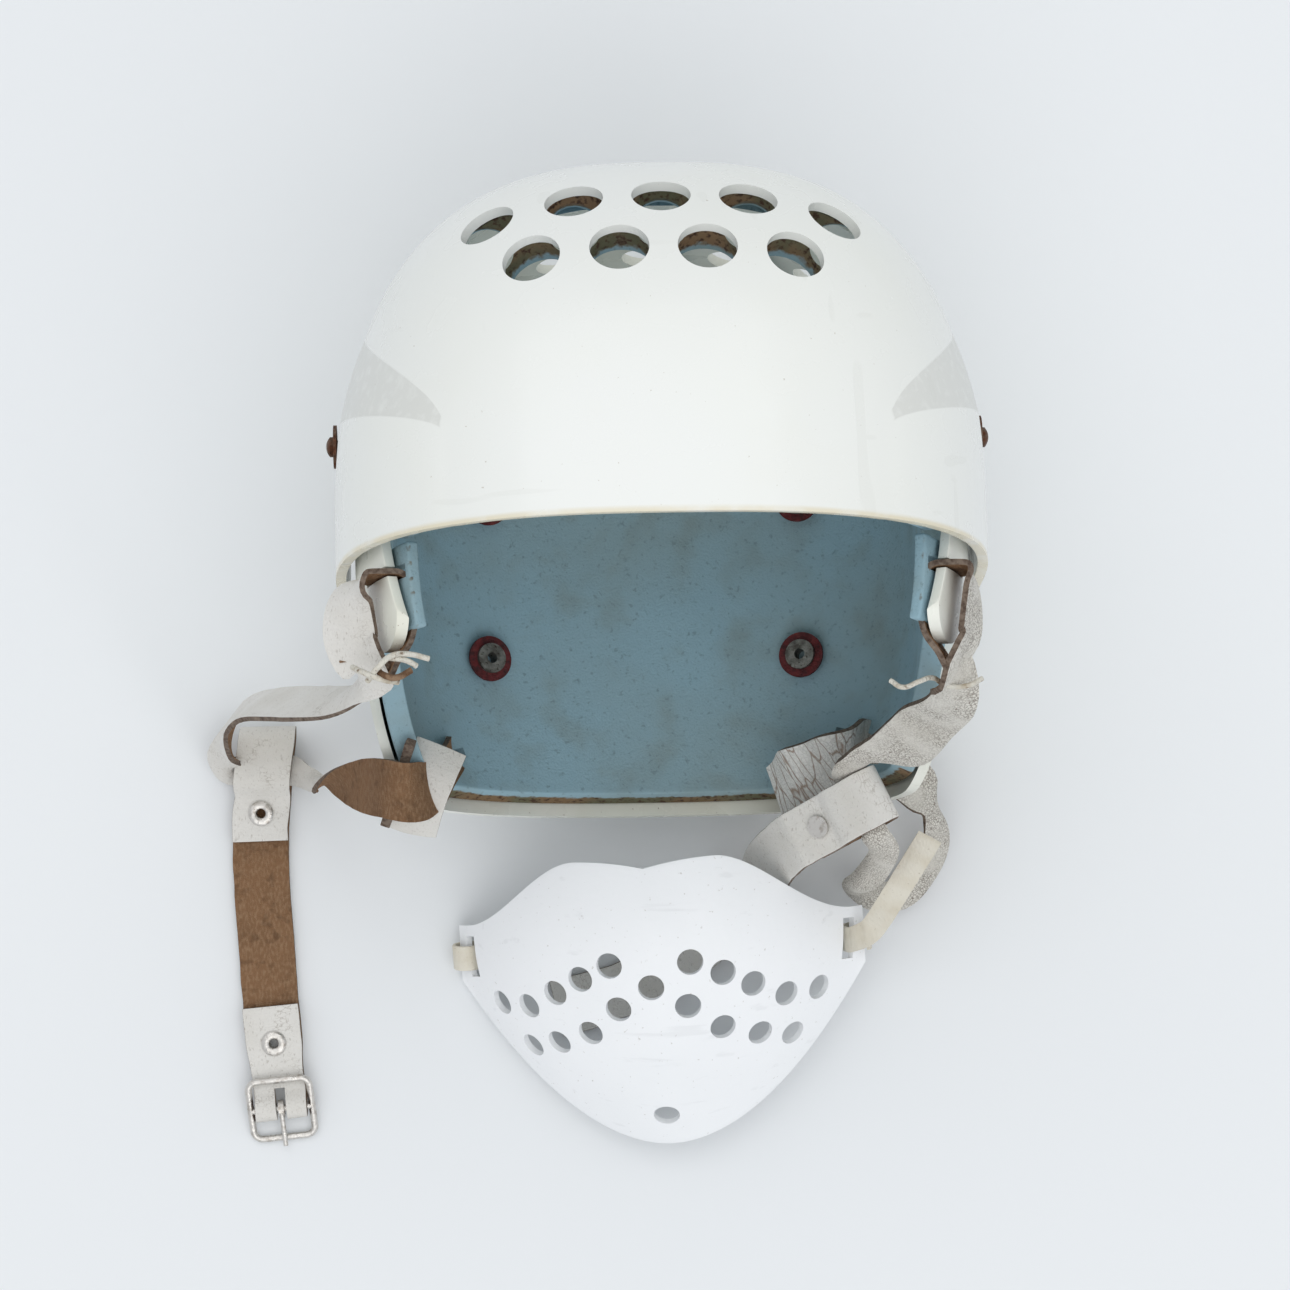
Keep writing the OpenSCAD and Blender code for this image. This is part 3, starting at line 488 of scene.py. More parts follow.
def near_vents(spot, vents, reach):
    """Dirt round the cut walls of the vents, thinning out toward the inside of the foam."""
    most = 0
    for vent in vents:
        way = outward(vent)
        off = spot - vent
        depth = -off.dot(way)
        close = (off - off.dot(way) * way).length
        inward = min(max((dirt_depth - depth) / 8, 0), 1)
        most = max(most, min(1 - (close - hole_edge) / reach, 1) * inward)
    return most


marked_piece(front_liner, "grime_and_shadow", lambda spot: near_vents(spot, front_vents, 2.5))


def foam(name, colour, dirt, edge_dirt):
    """Sheet foam: a fine closed skin, uneven fading, grey-green sweat marks and brown cut edges."""
    finish = Finish(name, colour, 0.78, shine=0.25)
    finish.patches(dirt, 0.6, 18, 0.42, 0.7, 4)
    finish.patches((122, 128, 116), 0.35, 70, 0.5, 0.75, 6)
    finish.patches((92, 106, 106), 0.4, 620, 0.6, 0.72, 3)
    ragged = finish.both(finish.marked("grime_and_shadow"), finish.both(finish.grain(420, 0.2, 0.8, 5), 0.3), "ADD")
    rough_edge = finish.share(ragged, 0.42, 0.58)
    finish.stain(rough_edge, edge_dirt)
    finish.stain(finish.both(rough_edge, finish.grain(60, 0.42, 0.58, 4)), (98, 96, 74))
    finish.stain(finish.both(rough_edge, finish.grain(620, 0.52, 0.64, 4)), (70, 50, 38))
    finish.worn(0.62, 0.92, 90, 0.3, 0.7, 5)
    finish.pitted(0.0002, 0.45, 1300, 0.3, 0.7, 3)
    finish.pitted(0.0009, 0.35, 60, 0.2, 0.8, 4)
    return finish


front_foam = foam("front_foam_blue", (142, 172, 184), (144, 156, 148), (128, 104, 78))
fit(front_liner, "front", "front_liner", "foam", front_foam)


# Rear shell
# The back half: the same white moulding, running inside the front shell, with a slotted temple tab
# on each side, a slot at each lower corner for a strap, nine vents and long slots for the size screws.
def rear_place(u, v):
    inside_front = -3.8
    return fan(mix(74, -36, v), mix(-44, -70, v), mix(107, 180, v), mix(-90, 90, u), inside_front)


def side_arc(centre, radius, start, end, count):
    return [
        (centre[0] + radius * math.cos(math.radians(mix(start, end, i / count))),
         centre[1] + radius * math.sin(math.radians(mix(start, end, i / count))))
        for i in range(count + 1)
    ]


def block(bm, place, way, size):
    turn = Vector(way).to_track_quat("Z", "Y").to_matrix().to_4x4()
    bmesh.ops.create_cube(bm, size=1, matrix=Matrix.Translation(place) @ turn @ Matrix.Diagonal((*size, 1)))


below_rear = (
    [(130, -12), (74, -12)]
    + side_arc((58, -29), 12, 0, -180, 20)
    + side_arc((38, -26), 6, 0, 90, 8)
    + side_arc((-14, -44), 24, 90, 180, 16)
    + side_arc((-60, -45), 22, 0, -90, 12)
    + [(-140, -67), (-140, -140), (130, -140)]
)
rear_shell = moulding("moulded_rear_shell", 148, 96, rear_place, (0, 0, 0), wall, 0.9, lying)
trim = bmesh.new()
outline = trim.faces.new([trim.verts.new((-200, y, z)) for z, y in below_rear])
swept = bmesh.ops.extrude_face_region(trim, geom=[outline])
far_side = [made for made in swept["geom"] if isinstance(made, bmesh.types.BMVert)]
bmesh.ops.translate(trim, verts=far_side, vec=(400, 0, 0))
bmesh.ops.recalc_face_normals(trim, faces=trim.faces)
cut(rear_shell, trim, lying)
corner_x, corner_y, corner_z = 70, -52, -85
corner_way = (0.68, -0.27, -0.68)
tab_slot = (80, -19, 58)
slide = 12


def corner_block(bm, side, size):
    """A block of this size through the lower corner slot of one side."""
    way = Vector((side * corner_way[0], *corner_way[1:])).normalized()
    across = Vector((0, 0, 1)).cross(way).normalized()
    turn = Matrix((across, way.cross(across), way)).transposed().to_4x4()
    spot = Matrix.Translation((side * corner_x, corner_y, corner_z))
    bmesh.ops.create_cube(bm, size=1, matrix=spot @ turn @ Matrix.Diagonal((*size, 1)))


holes = bmesh.new()
for vent in rear_vents:
    drill(holes, vent, outward(vent), vent_width)
for side in (-1, 1):
    block(holes, (side * tab_slot[0], *tab_slot[1:]), (0, 0, 1), (40, 3, 19))
    for z in (screw_z, screw_z + slide):
        drill(holes, Vector((side * half_width, screw_level, z)), Vector((1, 0, 0)), screw_hole, 30, 32)
cut(rear_shell, holes, lying)
holes = bmesh.new()
for side in (-1, 1):
    middle = (side * half_width, screw_level, screw_z + slide / 2)
    block(holes, middle, (0, 0, 1), (30, screw_hole, slide))
    corner_block(holes, side, (4.0, 20.0, 40.0))
cut(rear_shell, holes, lying)
rear_white = Finish("rear_shell_white", (232, 234, 228), 0.26, shine=0.45)
rear_white.patches((229, 228, 208), 0.6, 11, 0.4, 0.7, 3)
rear_white.patches((206, 204, 188), 0.4, 45, 0.52, 0.8, 5)
rear_specks = rear_white.grain(800, 0.72, 0.78, 2)
rear_white.stain(rear_white.both(rear_specks, 0.6), (126, 108, 86))
# Painted shadow: the temple tabs are darkened in a blotchy brown just below the front shell's edge.
front_edge_shadow_mask = rear_white.both(rear_white.marked("grime_and_shadow"), rear_white.grain(120, 0.35, 0.6, 6))
rear_white.stain(rear_white.both(front_edge_shadow_mask, 0.75), (118, 92, 66))
rear_white.worn(0.2, 0.45, 70, 0.3, 0.75, 6)
rear_white.pitted(0.0006, 0.25, 34, 0.2, 0.8, 2)


def shadow_under_front_edge(spot):
    """A blotchy brown painted shadow on the temple tabs, just under the front shell's edge."""
    band = 1.4 - abs(spot.y + 12) / 7
    forward = 1.4 - abs(spot.z - 74) / 6
    return max(min(band, forward, 1), 0)


marked_piece(rear_shell, "grime_and_shadow", shadow_under_front_edge)
fit(rear_shell, "helmet", "rear_shell", "rear_shell", rear_white)


# Rear liner
# The foam inside the back of the helmet: the same blue sheet foam, held to the shell by four hollow
# rivets and stained grey-green, with a brown line of dirt along its cut lower edge.
inside_rear = -7.7


def rear_liner_place(u, v):
    return fan(mix(-8, -42, v), mix(-24, -63, v), mix(103, 180, v), mix(-90, 90, u), inside_rear)


foam_thick = 7
rear_liner = moulding("foam_rear_liner", 110, 70, rear_liner_place, (0, 0, 0), foam_thick, 1.3, lying)
holes = bmesh.new()
for vent in rear_vents:
    drill(holes, vent, outward(vent), 18)
cut(rear_liner, holes, lying)
holes = bmesh.new()
for vent in front_vents[5:]:
    way = Vector((0.031 + 0.00064 * vent.x, 0.176, -0.984))
    drill(holes, vent + Vector((0, 6.5, 0)) + 155 * way, way, 19, 90)
cut(rear_liner, holes, lying)
holes = bmesh.new()
corner_block(holes, -1, (3.0, 13.0, 40.0))
corner_block(holes, 1, (10.0, 26.0, 40.0))
cut(rear_liner, holes, lying)


def rear_foam_dirt(spot):
    rim = min(max((fullness(spot, -11.4) - 0.95) / 0.12, 0), 1) if spot.y < -61 and spot.z < -45 else 0
    return max(min(rim, 1), 0.8 * near_vents(spot, rear_vents, 2.5), 0)


marked_piece(rear_liner, "grime_and_shadow", rear_foam_dirt)
rear_foam = foam("rear_foam_blue", (142, 172, 184), (136, 152, 152), (120, 98, 72))
fit(rear_liner, "helmet", "rear_liner", "foam", rear_foam)


# Temple pads
# A strip of the same foam, 3.5 mm thick, glued inside each temple tab. It is slotted with the tab
# for the strap.
def temple_pad(side):
    def place(u, v):
        start = Vector((0, mix(-36, -11, v), mix(46, 70, u)))
        return on_form(start, Vector((side, 0, 0)), inside_rear)

    name = "foam_left_temple_pad" if side < 0 else "foam_right_temple_pad"
    pad = moulding(name, 20, 20, place, (0, -23, 58), 3.5, 0.8, lying)
    slot = bmesh.new()
    block(slot, (side * tab_slot[0], *tab_slot[1:]), (0, 0, 1), (40, 4, 20))
    cut(pad, slot, lying)
    marked_piece(pad, "grime_and_shadow", lambda spot: 0.25 if abs(spot.z - 58) > 11 else 0)
    fit(pad, "helmet", name[5:], "foam", rear_foam)


temple_pad(-1)
temple_pad(1)


# Size screws, washers and nuts
# A slotted steel screw at each temple clamps the front shell to the rear one, through a steel washer
# outside and a hexagon nut inside. Years of sweat have rusted the heads brown.
def over_solid(node, finish):
    """A turned or stamped part keeps its solid, with its real finish in every slot."""
    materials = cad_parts[node].data.materials
    if not materials:
        materials.append(finish.material)
    for index in range(len(materials)):
        materials[index] = finish.material


rusty = Finish("rusty_steel", (112, 92, 78), 0.5, metal=0.75)
rusty.patches((98, 62, 44), 1, 480, 0.42, 0.62, 6)
rusty.patches((60, 44, 36), 1, 900, 0.55, 0.7, 4)
rusty.worn(0.4, 0.8, 420, 0.35, 0.65, 6)
rusty.pitted(0.0003, 0.7, 900, 0.3, 0.7, 6)
nickel = Finish("dull_nickel", (214, 211, 206), 0.3, metal=1.0)
nickel.patches((142, 130, 116), 0.7, 500, 0.52, 0.74, 5)
nickel.worn(0.22, 0.46, 320, 0.3, 0.7, 6)
nickel.pitted(0.0002, 0.5, 1100, 0.3, 0.7, 4)
for screw_part in ("left_size_screw", "right_size_screw", "left_screw_washer", "right_screw_washer"):
    over_solid(screw_part, rusty)
for nut in ("left_screw_nut", "right_screw_nut"):
    over_solid(nut, nickel)


# Liner rivets and fibre rings
# Four hollow rivets hold the rear liner, each closed over a dark red vulcanised fibre ring that
# spreads its grip on the foam. Their flanges have gone dull grey.
tarnished = Finish("tarnished_rivet", (142, 140, 134), 0.42, metal=0.9)
tarnished.patches((96, 92, 86), 1, 420, 0.42, 0.66, 6)
tarnished.patches((70, 60, 50), 1, 1000, 0.58, 0.7, 4)
tarnished.worn(0.32, 0.7, 380, 0.3, 0.7, 6)
tarnished.pitted(0.0002, 0.6, 900, 0.3, 0.7, 5)
over_solid("liner_rivets", tarnished)
red_fibre = Finish("red_fibre", (98, 34, 36), 0.62, shine=0.35)
red_fibre.patches((62, 26, 28), 1, 500, 0.4, 0.65, 6)
red_fibre.patches((128, 62, 56), 1, 180, 0.6, 0.75, 4)
red_fibre.worn(0.5, 0.85, 300, 0.3, 0.7, 5)
red_fibre.pitted(0.00025, 0.7, 1500, 0.3, 0.7, 4, (1, 1, 0.3))
over_solid("fibre_rings", red_fibre)


# Side straps
# Two thin leather straps, 18 mm wide, split suede inside and painted white outside. Each goes
# through its temple tab, hangs in a loose loop and passes its lower corner slot. The right one's
# paint has crackled. Two scraps of leather fill the left corner, where the strap turns over.
def smooth_route(stations, steps):
    """Places and half widths across, smoothed between the stations of a route."""
    rows = [(Vector(place), Vector(across).normalized() * share) for place, across, share in stations]
    route = []
    for i in range(len(rows) - 1):
        a, b = rows[max(i - 1, 0)], rows[i]
        c, d = rows[i + 1], rows[min(i + 2, len(rows) - 1)]
        for j in range(steps):
            t = j / steps
            route.append(tuple(
                0.5 * (2 * b[k] + (c[k] - a[k]) * t + (2 * a[k] - 5 * b[k] + 4 * c[k] - d[k]) * t * t
                       + (3 * b[k] - a[k] - 3 * c[k] + d[k]) * t ** 3)
                for k in (0, 1)
            ))
    route.append(rows[-1])
    return route


beside = Matrix.Translation((middle_x, middle_y, 0)) @ from_millimetres


def strap(name, stations, wide, thick, finishes, steps=5, turned=False, roll=4.0, slack=0.25, seed=0.0):
    """A strap laid along its stations; the painted face is its first side, or the other if turned."""
    route = smooth_route(stations, steps)
    last = len(route) - 1
    gone = [0.0]
    for i in range(last):
        gone.append(gone[-1] + (route[i + 1][0] - route[i][0]).length)
    bm = bmesh.new()
    bmesh.ops.create_grid(bm, x_segments=last, y_segments=10, size=0.5)
    uv = bm.loops.layers.uv.new("strap")
    laid_out = {}
    for vert in bm.verts:
        i = round((vert.co.x + 0.5) * last)
        v = vert.co.y * 2
        along = (route[min(i + 1, last)][0] - route[max(i - 1, 0)][0]).normalized()
        across = route[i][1] - route[i][1].dot(along) * along
        share = route[i][1].length
        across.normalize()
        up = along.cross(across)
        laid_out[vert] = (gone[i] / 1000, (v + 1) / 2 * wide / 1000)
        ripple = noise.noise(Vector((gone[i] * 0.07, v * 0.8, seed)))
        edge = 1 + 0.025 * noise.noise(Vector((gone[i] * 0.16, math.copysign(3, v), seed + 5)))
        sag = roll * max(1 - share, 0) * (v * v - 0.33) * (1 if turned else -1)
        place = route[i][0] + across * (wide * share / 2 * v * edge)
        vert.co = place + up * (slack * ripple + sag)
    for face in bm.faces:
        for loop in face.loops:
            loop[uv].uv = laid_out[loop.vert]
    bm.normal_update()
    if turned:
        bmesh.ops.reverse_faces(bm, faces=bm.faces)
    bm.transform(beside)
    piece = piece_of(name, bm)
    for finish in finishes:
        piece.data.materials.append(finish.material)
    solid = piece.modifiers.new("thickness", "SOLIDIFY")
    solid.thickness = thick / 1000
    solid.offset = 0
    solid.material_offset = 1
    solid.material_offset_rim = 2
    worn = piece.modifiers.new("worn_edges", "BEVEL")
    worn.width = 0.0004
    worn.segments = 2
    worn.limit_method = "ANGLE"
    worn.angle_limit = math.radians(60)
    return piece


def on_table(spot):
    """A spot of the helmet's own frame as it lies, in millimetres beside the layout's middle."""
    return tuple(beside.inverted() @ (lying @ Vector(spot)))


def way_on_table(way):
    return tuple((lying.to_3x3() @ Vector(way)) * 1000)


def tab_loop(side, bulge, twist):
    """Stations up the inside of a temple tab, through its slot and down its outside."""
    rows = [
        (80.3, -47, 56, 15), (78.5, -43.5, 56.5, 15), (75.5, -38, 57, 18), (73.9, -30, 57.5, 15),
        (73.7, -24, 58, 5), (74.4, -20.6, 58, 0), (76.2, -19.3, 58, 0), (79, -19, 58, 0), (84.6, -19, 58, 0),
        (86.9, -19.9, 58, 0.2 * twist), (mix(88, bulge, 0.7), -24, 57.5, 0.7 * twist),
        (bulge, -31, 57, twist), (bulge - 1, -39, 56, twist), (bulge - 5, -46, 55, 0.6 * twist),
    ]
    return [
        (on_table((side * x, y, z)),
         way_on_table((-side * math.sin(math.radians(turn)), 0, math.cos(math.radians(turn)))), 1)
        for x, y, z, turn in rows
    ]


def corner_pass(side, steps, sign=1, share=1):
    """Stations through the lower corner slot, so many millimetres along its way."""
    x, y, z = corner_way
    return [
        (on_table((side * (corner_x + step * x), corner_y + step * y, corner_z + step * z)),
         way_on_table((sign * side * 0.37, sign * 0.93, 0)), share)
        for step in steps
    ]


left_side_route = tab_loop(-1, 91, 54) + [
    ((-88.5, -40, 162), (-0.2, -0.7, 0.6), 0.6),
    ((-96, -44, 142), (-0.6, -0.55, 0.4), 0.8), ((-107, -44.8, 116), (-0.78, -0.5, 0.36), 1),
    ((-121, -45, 86), (-0.78, -0.5, 0.36), 1), ((-131, -48.5, 62), (-0.5, -0.7, 0.5), 0.9),
    ((-136.5, -56, 36), (0, -0.86, 0.5), 0.75), ((-140.5, -63.5, 14), (0.8, -0.3, 0.1), 0.6),
    ((-139, -67, 6.4), (0.5, 0.6, 0.2), 0.5), ((-134, -67.2, 5.7), (0, 1, 0), 0.5),
    ((-127, -67, 5.7), (0, 1, 0), 0.5),
    ((-119.5, -67.5, 6.2), (0, 1, 0.1), 0.5), ((-113.5, -70.5, 12), (0, 0.8, 0.3), 0.42),
    ((-107.5, -71.6, 28), (0.9, -0.1, -0.35), 0.36), ((-100, -71.4, 50), (0.3, -0.9, -0.1), 0.66),
    ((-92, -71, 74), (0, -1, 0), 0.93), ((-85.5, -71.3, 92), (0, -1, -0.1), 1),
    ((-79.5, -72.3, 98), (0, -1, -0.1), 1), ((-74.5, -72.5, 94), (0.1, -1, 0), 1),
    ((-71, -71, 83), (0.2, -1, 0.1), 0.85),
    ((-68, -67, 66), (0.3, -1, 0.16), 0.62),
] + corner_pass(-1, (-9, 0, 9), -1, 0.62) + [
    ((-83, -74, 36), (0.36, -0.92, 0), 1), ((-87, -80, 39), (0.2, -0.9, -0.4), 1),
]
fold_centre = Vector((60, -80, 73))
fold_along = Vector((0.74, 0.42, 0.52)).normalized()
fold_across = Vector((-0.42, 0.9, -0.13)).normalized()
fold_out = fold_along.cross(fold_across)
right_side_route = tab_loop(1, 87.5, 20) + [
    ((84, -48, 158), (-0.75, 0.3, 0.35), 0.8),
    ((78, -54, 134), (-0.85, 0.45, 0), 0.95), ((71, -62, 110), (-0.9, 0.4, -0.1), 1),
    ((63, -65, 93), (-0.9, 0.1, -0.3), 0.8), ((58.5, -67, 81), (-0.8, -0.2, -0.4), 0.6),
] + [
    (tuple(fold_centre + step * fold_across), tuple(-fold_along), 0.46) for step in (9, 4, -1, -6, -11)
] + [
    ((67.5, -95, 66), (-0.9, -0.1, -0.4), 0.47), ((65, -101, 53), (-0.8, 0.5, -0.2), 0.45),
    ((61.5, -106, 39), (-0.8, 0.6, 0), 0.42),
    ((60, -108, 25), (-0.95, 0.3, 0), 0.42), ((62.5, -109.5, 14), (-0.9, -0.4, 0), 0.45),
    ((69, -112, 7.2), (-0.4, -0.9, 0), 0.5),
    ((76.5, -110.5, 6.8), (0.4, -1, 0), 0.5), ((83, -103, 12), (1, -0.4, -0.2), 0.5),
    ((86.5, -94, 19), (0.9, 0, -0.4), 0.5), ((86, -87, 24), (0.5, 0.6, -0.6), 0.5),
    ((83, -79, 28), (-0.2, 0.9, 0.1), 0.8),
] + corner_pass(1, (9, 0, -9)) + [
    ((56.5, -65, 53), (0.4, 0.9, 0.1), 1),
    ((49.5, -69, 53), (0.45, 0.9, 0.3), 1.15), ((42, -73, 51), (0.5, 0.85, 0.35), 1.25),
    ((35.5, -77.5, 46), (0.5, 0.85, 0.35), 1.1),
]
painted = Finish("smooth_white_leather", (222, 220, 215), 0.5, shine=0.35)
painted.patches((206, 202, 193), 0.5, 45, 0.42, 0.7, 4)
hair_cracks = painted.cracks(1, 0.01, 0.06, (900, 420, 1))
cracked_here = painted.both(hair_cracks, painted.grain(110, 0.55, 0.72, 3))
painted.stain(painted.both(cracked_here, 0.6), (134, 122, 106))
painted.patches((150, 142, 130), 0.45, 1500, 0.6, 0.72, 3, (1, 0.4, 1))
painted.worn(0.4, 0.68, 120, 0.3, 0.7, 5)
painted.pitted(0.0002, 0.6, 1500, 0.3, 0.7, 4)
painted.relief(hair_cracks, 0.0002, 0.3, inward=True)
crackled = Finish("crackled_white_leather", (220, 217, 209), 0.55, shine=0.35)
crackled.patches((203, 198, 187), 0.5, 45, 0.42, 0.7, 4)
fine_cracks = crackled.cracks(1, 0.02, 0.13, (1150, 820, 1))
cracked_here = crackled.both(fine_cracks, crackled.grain(70, 0.34, 0.56, 3))
crackled.stain(crackled.both(cracked_here, 0.8), (112, 100, 86))
crackled.patches((140, 130, 116), 0.5, 1500, 0.62, 0.74, 3)
long_cracks = crackled.cracks(1, 0.01, 0.06, (420, 90, 1))
on_flap = crackled.along(0.362, 0.372)
crackled.stain(crackled.both(on_flap, 0.75), (214, 215, 212))
crackled.stain(crackled.both(crackled.both(long_cracks, on_flap), 0.8), (124, 100, 80))
crackled.worn(0.42, 0.75, 120, 0.3, 0.7, 5)
crackled.pitted(0.0002, 0.5, 900, 0.3, 0.7, 4)
all_cracks = crackled.both(fine_cracks, crackled.both(long_cracks, on_flap), "ADD")
crackled.relief(all_cracks, 0.0003, 0.7, inward=True)
suede = Finish("brown_suede", (134, 102, 75), 0.93, shine=0.15)
suede.patches((112, 86, 64), 0.6, 60, 0.4, 0.68, 5)
suede.patches((164, 136, 108), 0.45, 1400, 0.45, 0.65, 4, (1, 0.4, 1))
suede.patches((84, 62, 46), 0.5, 260, 0.56, 0.7, 5)
suede.pitted(0.0003, 0.9, 2200, 0.25, 0.75, 3)
cut_edge = Finish("dark_leather_edge", (124, 110, 98), 0.85, shine=0.2)
cut_edge.patches((86, 72, 63), 1, 700, 0.42, 0.65, 5)
cut_edge.patches((150, 136, 120), 1, 260, 0.6, 0.75, 5)
cut_edge.pitted(0.0003, 0.8, 1500, 0.3, 0.7, 4)
leather = (painted, suede, cut_edge)
old_leather = (crackled, suede, cut_edge)
strap_wide = 18
left_side_strap = strap("leather_left_side_strap", left_side_route, strap_wide, 1.6, leather, seed=1.0)
fit(left_side_strap, "helmet", "left_side_strap", "leather")
right_side_strap = strap(
    "leather_right_side_strap", right_side_route, strap_wide, 1.7, old_leather, turned=True, seed=2.0
)
fit(right_side_strap, "helmet", "right_side_strap", "leather")
corner_flap_route = [
    ((-67.8, -59, 83), (0.87, -0.49, 0), 0.9), ((-71, -67, 87), (0.9, -0.42, 0), 0.86),
    ((-74.5, -76, 86), (0.95, -0.3, 0), 0.83), ((-77.5, -85.5, 76), (0.98, -0.18, 0), 0.8),
]
rolled_edge_route = [
    ((-76.5, -57.3, 99), (0, 0, 1), 1), ((-79.5, -65, 91), (0, 0, 1), 1),
    ((-82.5, -74.5, 88), (0, 0, 1), 1), ((-85.5, -82.5, 80), (0, 0, 1), 1),
]


def extra(piece):
    """A piece that no solid stands for, on the helmet."""
    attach(piece, "helmet")


for name, route, wide, thick, faces in (
    ("leather_left_corner_flap", corner_flap_route, strap_wide, 1.6, leather),
    ("leather_left_rolled_edge", rolled_edge_route, 3, 3, (cut_edge,) * 3),
):
    extra(strap(name, route, wide, thick, faces, seed=7.0))


# Chin straps
# Each chin strap is one length of 2 mm leather, folded over its side strap as a keeper. The left
# one ends in a second fold that holds the buckle; its long middle shows the suede side.
under, over = 1.7, 4.1
bar_place = Vector((-125, -176, 4.3))
buckle_wide, wire = 22, 2.2
bar_share = (buckle_wide - 2 * wire - 1) / strap_wide


def laid(across, share, *places):
    """Stations that have one way across."""
    return [(place, across, share) for place in places]


bar_turn = [
    tuple(bar_place + 2.6 * Vector((0, math.cos(math.radians(a)), math.sin(math.radians(a)))))
    for a in (-90, -135, -180, -225, -270)
]
left_chin_route = laid(
    (1, 0, 0), 1,
    (-130, -90, over), (-130, -84, over), (-129, -76, over), (-129, -71, 8.4), (-128, -64, 9.4),
    (-127, -57, 8.4), (-126.6, -54, 5), (-127, -57, 2.2), (-128, -64, under), (-129, -76, under),
    (-130, -88, under), (-130, -104, under), (-129, -122, under),
) + laid(
    (1, 0.1, 0), 1, (-128, -141, under), (-127, -154, under),
) + laid(
    (1, 0.1, 0), bar_share,
    (-126.2, -163, under), (-125.4, -170, under), (-125.1, -174, under), *bar_turn,
    (-125.1, -173.8, 6.5), (-125.4, -170.5, 4.6), (-125.8, -167, over), (-126.2, -163, over),
) + laid(
    (1, 0.1, 0), 1, (-127, -155, over), (-128, -143, over),
)
left_eyelet = Vector((-129.6, -81, 0))
buckle_eyelet = Vector((-127, -155, 0))
left_chin_strap = strap(
    "leather_left_chin_strap", left_chin_route, strap_wide, 2, leather,
    steps=6, turned=True, roll=0.0, slack=0.08, seed=3.0,
)
holes = bmesh.new()
upward = Vector((0, 0, 1))
for eyelet_place in (left_eyelet, buckle_eyelet):
    drill(holes, eyelet_place + 4 * upward, upward, 4.4, 22, 32)
bmesh.ops.create_cube(
    holes, size=1,
    matrix=Matrix.Translation(bar_place + Vector((0, 0.7, 0))) @ Matrix.Rotation(math.radians(5), 4, "Z")
    @ Matrix.Diagonal((3.4, 12, 14, 1)),
)
cut(left_chin_strap, holes, beside)
fit(left_chin_strap, "helmet", "left_chin_strap", "leather")

fold_half, pair_half = 3.7, 1.2
right_chin_route = [
    ((-36, -146, under), (0.3, 1, 0), 1), ((-24, -143, under), (0.3, 1, 0), 1),
    ((-9, -138, under), (-0.4, 1, 0), 1), ((6, -129, 2.4), (-0.55, 0.8, 0), 1),
    ((18, -119, 8), (-0.6, 0.75, 0), 1), ((28.5, -110, 17), (-0.65, 0.75, 0), 1),
    ((33, -99.3, 33.8), (-0.6, 0.8, 0), 1),
] + [
    (tuple(fold_centre + a * fold_along + b * fold_out), tuple(fold_across), 1)
    for a, b in (
        (-29, pair_half - 2), (-23, pair_half), (-17, pair_half), (-11.5, pair_half), (-6, fold_half),
        (4, fold_half), (8, 0.6 * fold_half), (9.5, 0), (8, -0.6 * fold_half), (4, -fold_half),
        (-6, -fold_half), (-11.5, -pair_half), (-16, -pair_half), (-21, -pair_half),
    )
]
right_chin_strap = strap(
    "leather_right_chin_strap", right_chin_route, strap_wide, 2, leather, roll=0.0, slack=0.08, seed=4.0
)
fit(right_chin_strap, "helmet", "right_chin_strap", "leather")


# Laces
# A thin white cotton lace ties the neck of each strap loop under its temple tab, knotted round both
# legs, with its cut ends left sticking out. The ends have frayed and one has gone brown.
def lace(name, routes, thick):
    """Round laces along smooth routes, in one mesh, each with closed ends."""
    curve = bpy.data.curves.new(name, "CURVE")
    curve.dimensions = "3D"
    curve.bevel_depth = thick / 2000
    curve.bevel_resolution = 3
    curve.use_fill_caps = True
    curve.resolution_u = 8
    for route in routes:
        line = curve.splines.new("BEZIER")
        line.bezier_points.add(len(route) - 1)
        for point, place in zip(line.bezier_points, route):
            point.co = beside @ Vector(place)
            point.handle_left_type = point.handle_right_type = "AUTO"
    drawn = bpy.data.objects.new(name, curve)
    scene.collection.objects.link(drawn)
    mesh = bpy.data.meshes.new_from_object(drawn.evaluated_get(bpy.context.evaluated_depsgraph_get()))
    bpy.data.objects.remove(drawn)
    piece = bpy.data.objects.new(name, mesh)
    scene.collection.objects.link(piece)
    mesh.polygons.foreach_set("use_smooth", [True] * len(mesh.polygons))
    mesh.materials.clear()
    return piece


cotton = Finish("white_cotton_lace", (222, 219, 208), 0.85, shine=0.2)
cotton.patches((176, 160, 134), 1, 160, 0.5, 0.72, 4)
cotton.patches((120, 96, 72), 1, 520, 0.6, 0.74, 4)
cotton.pitted(0.0004, 0.9, 1800, 0.3, 0.7, 3, (1, 0.3, 1))
left_lace = lace("cotton_left_lace", [
    [(-88.5, -34, 187), (-85, -35.5, 193.5), (-80, -37.5, 195), (-75.3, -38.5, 191)],
    [(-84, -38, 191), (-80.5, -34, 196), (-77, -31, 195), (-72, -30.6, 193), (-66.5, -32, 190.5)],
    [(-77.5, -31.5, 194), (-73, -32.3, 192.5), (-70, -34, 190.5)],
], 1.7)
fit(left_lace, "helmet", "left_lace", "lace", cotton)
brown_cotton = Finish("dirty_cotton_end", (150, 124, 100), 0.9, shine=0.2)
brown_cotton.patches((108, 82, 62), 1, 320, 0.42, 0.62, 5)
brown_cotton.pitted(0.0004, 0.9, 1800, 0.3, 0.7, 3, (1, 0.3, 1))
dirty_end = lace("cotton_left_lace_end", [
    [(-81, -35, 190.5), (-79, -36.4, 195.4), (-76, -37.2, 194.5), (-71.5, -35.2, 192)],
], 1.9)
dirty_end.data.materials.append(brown_cotton.material)
extra(dirty_end)
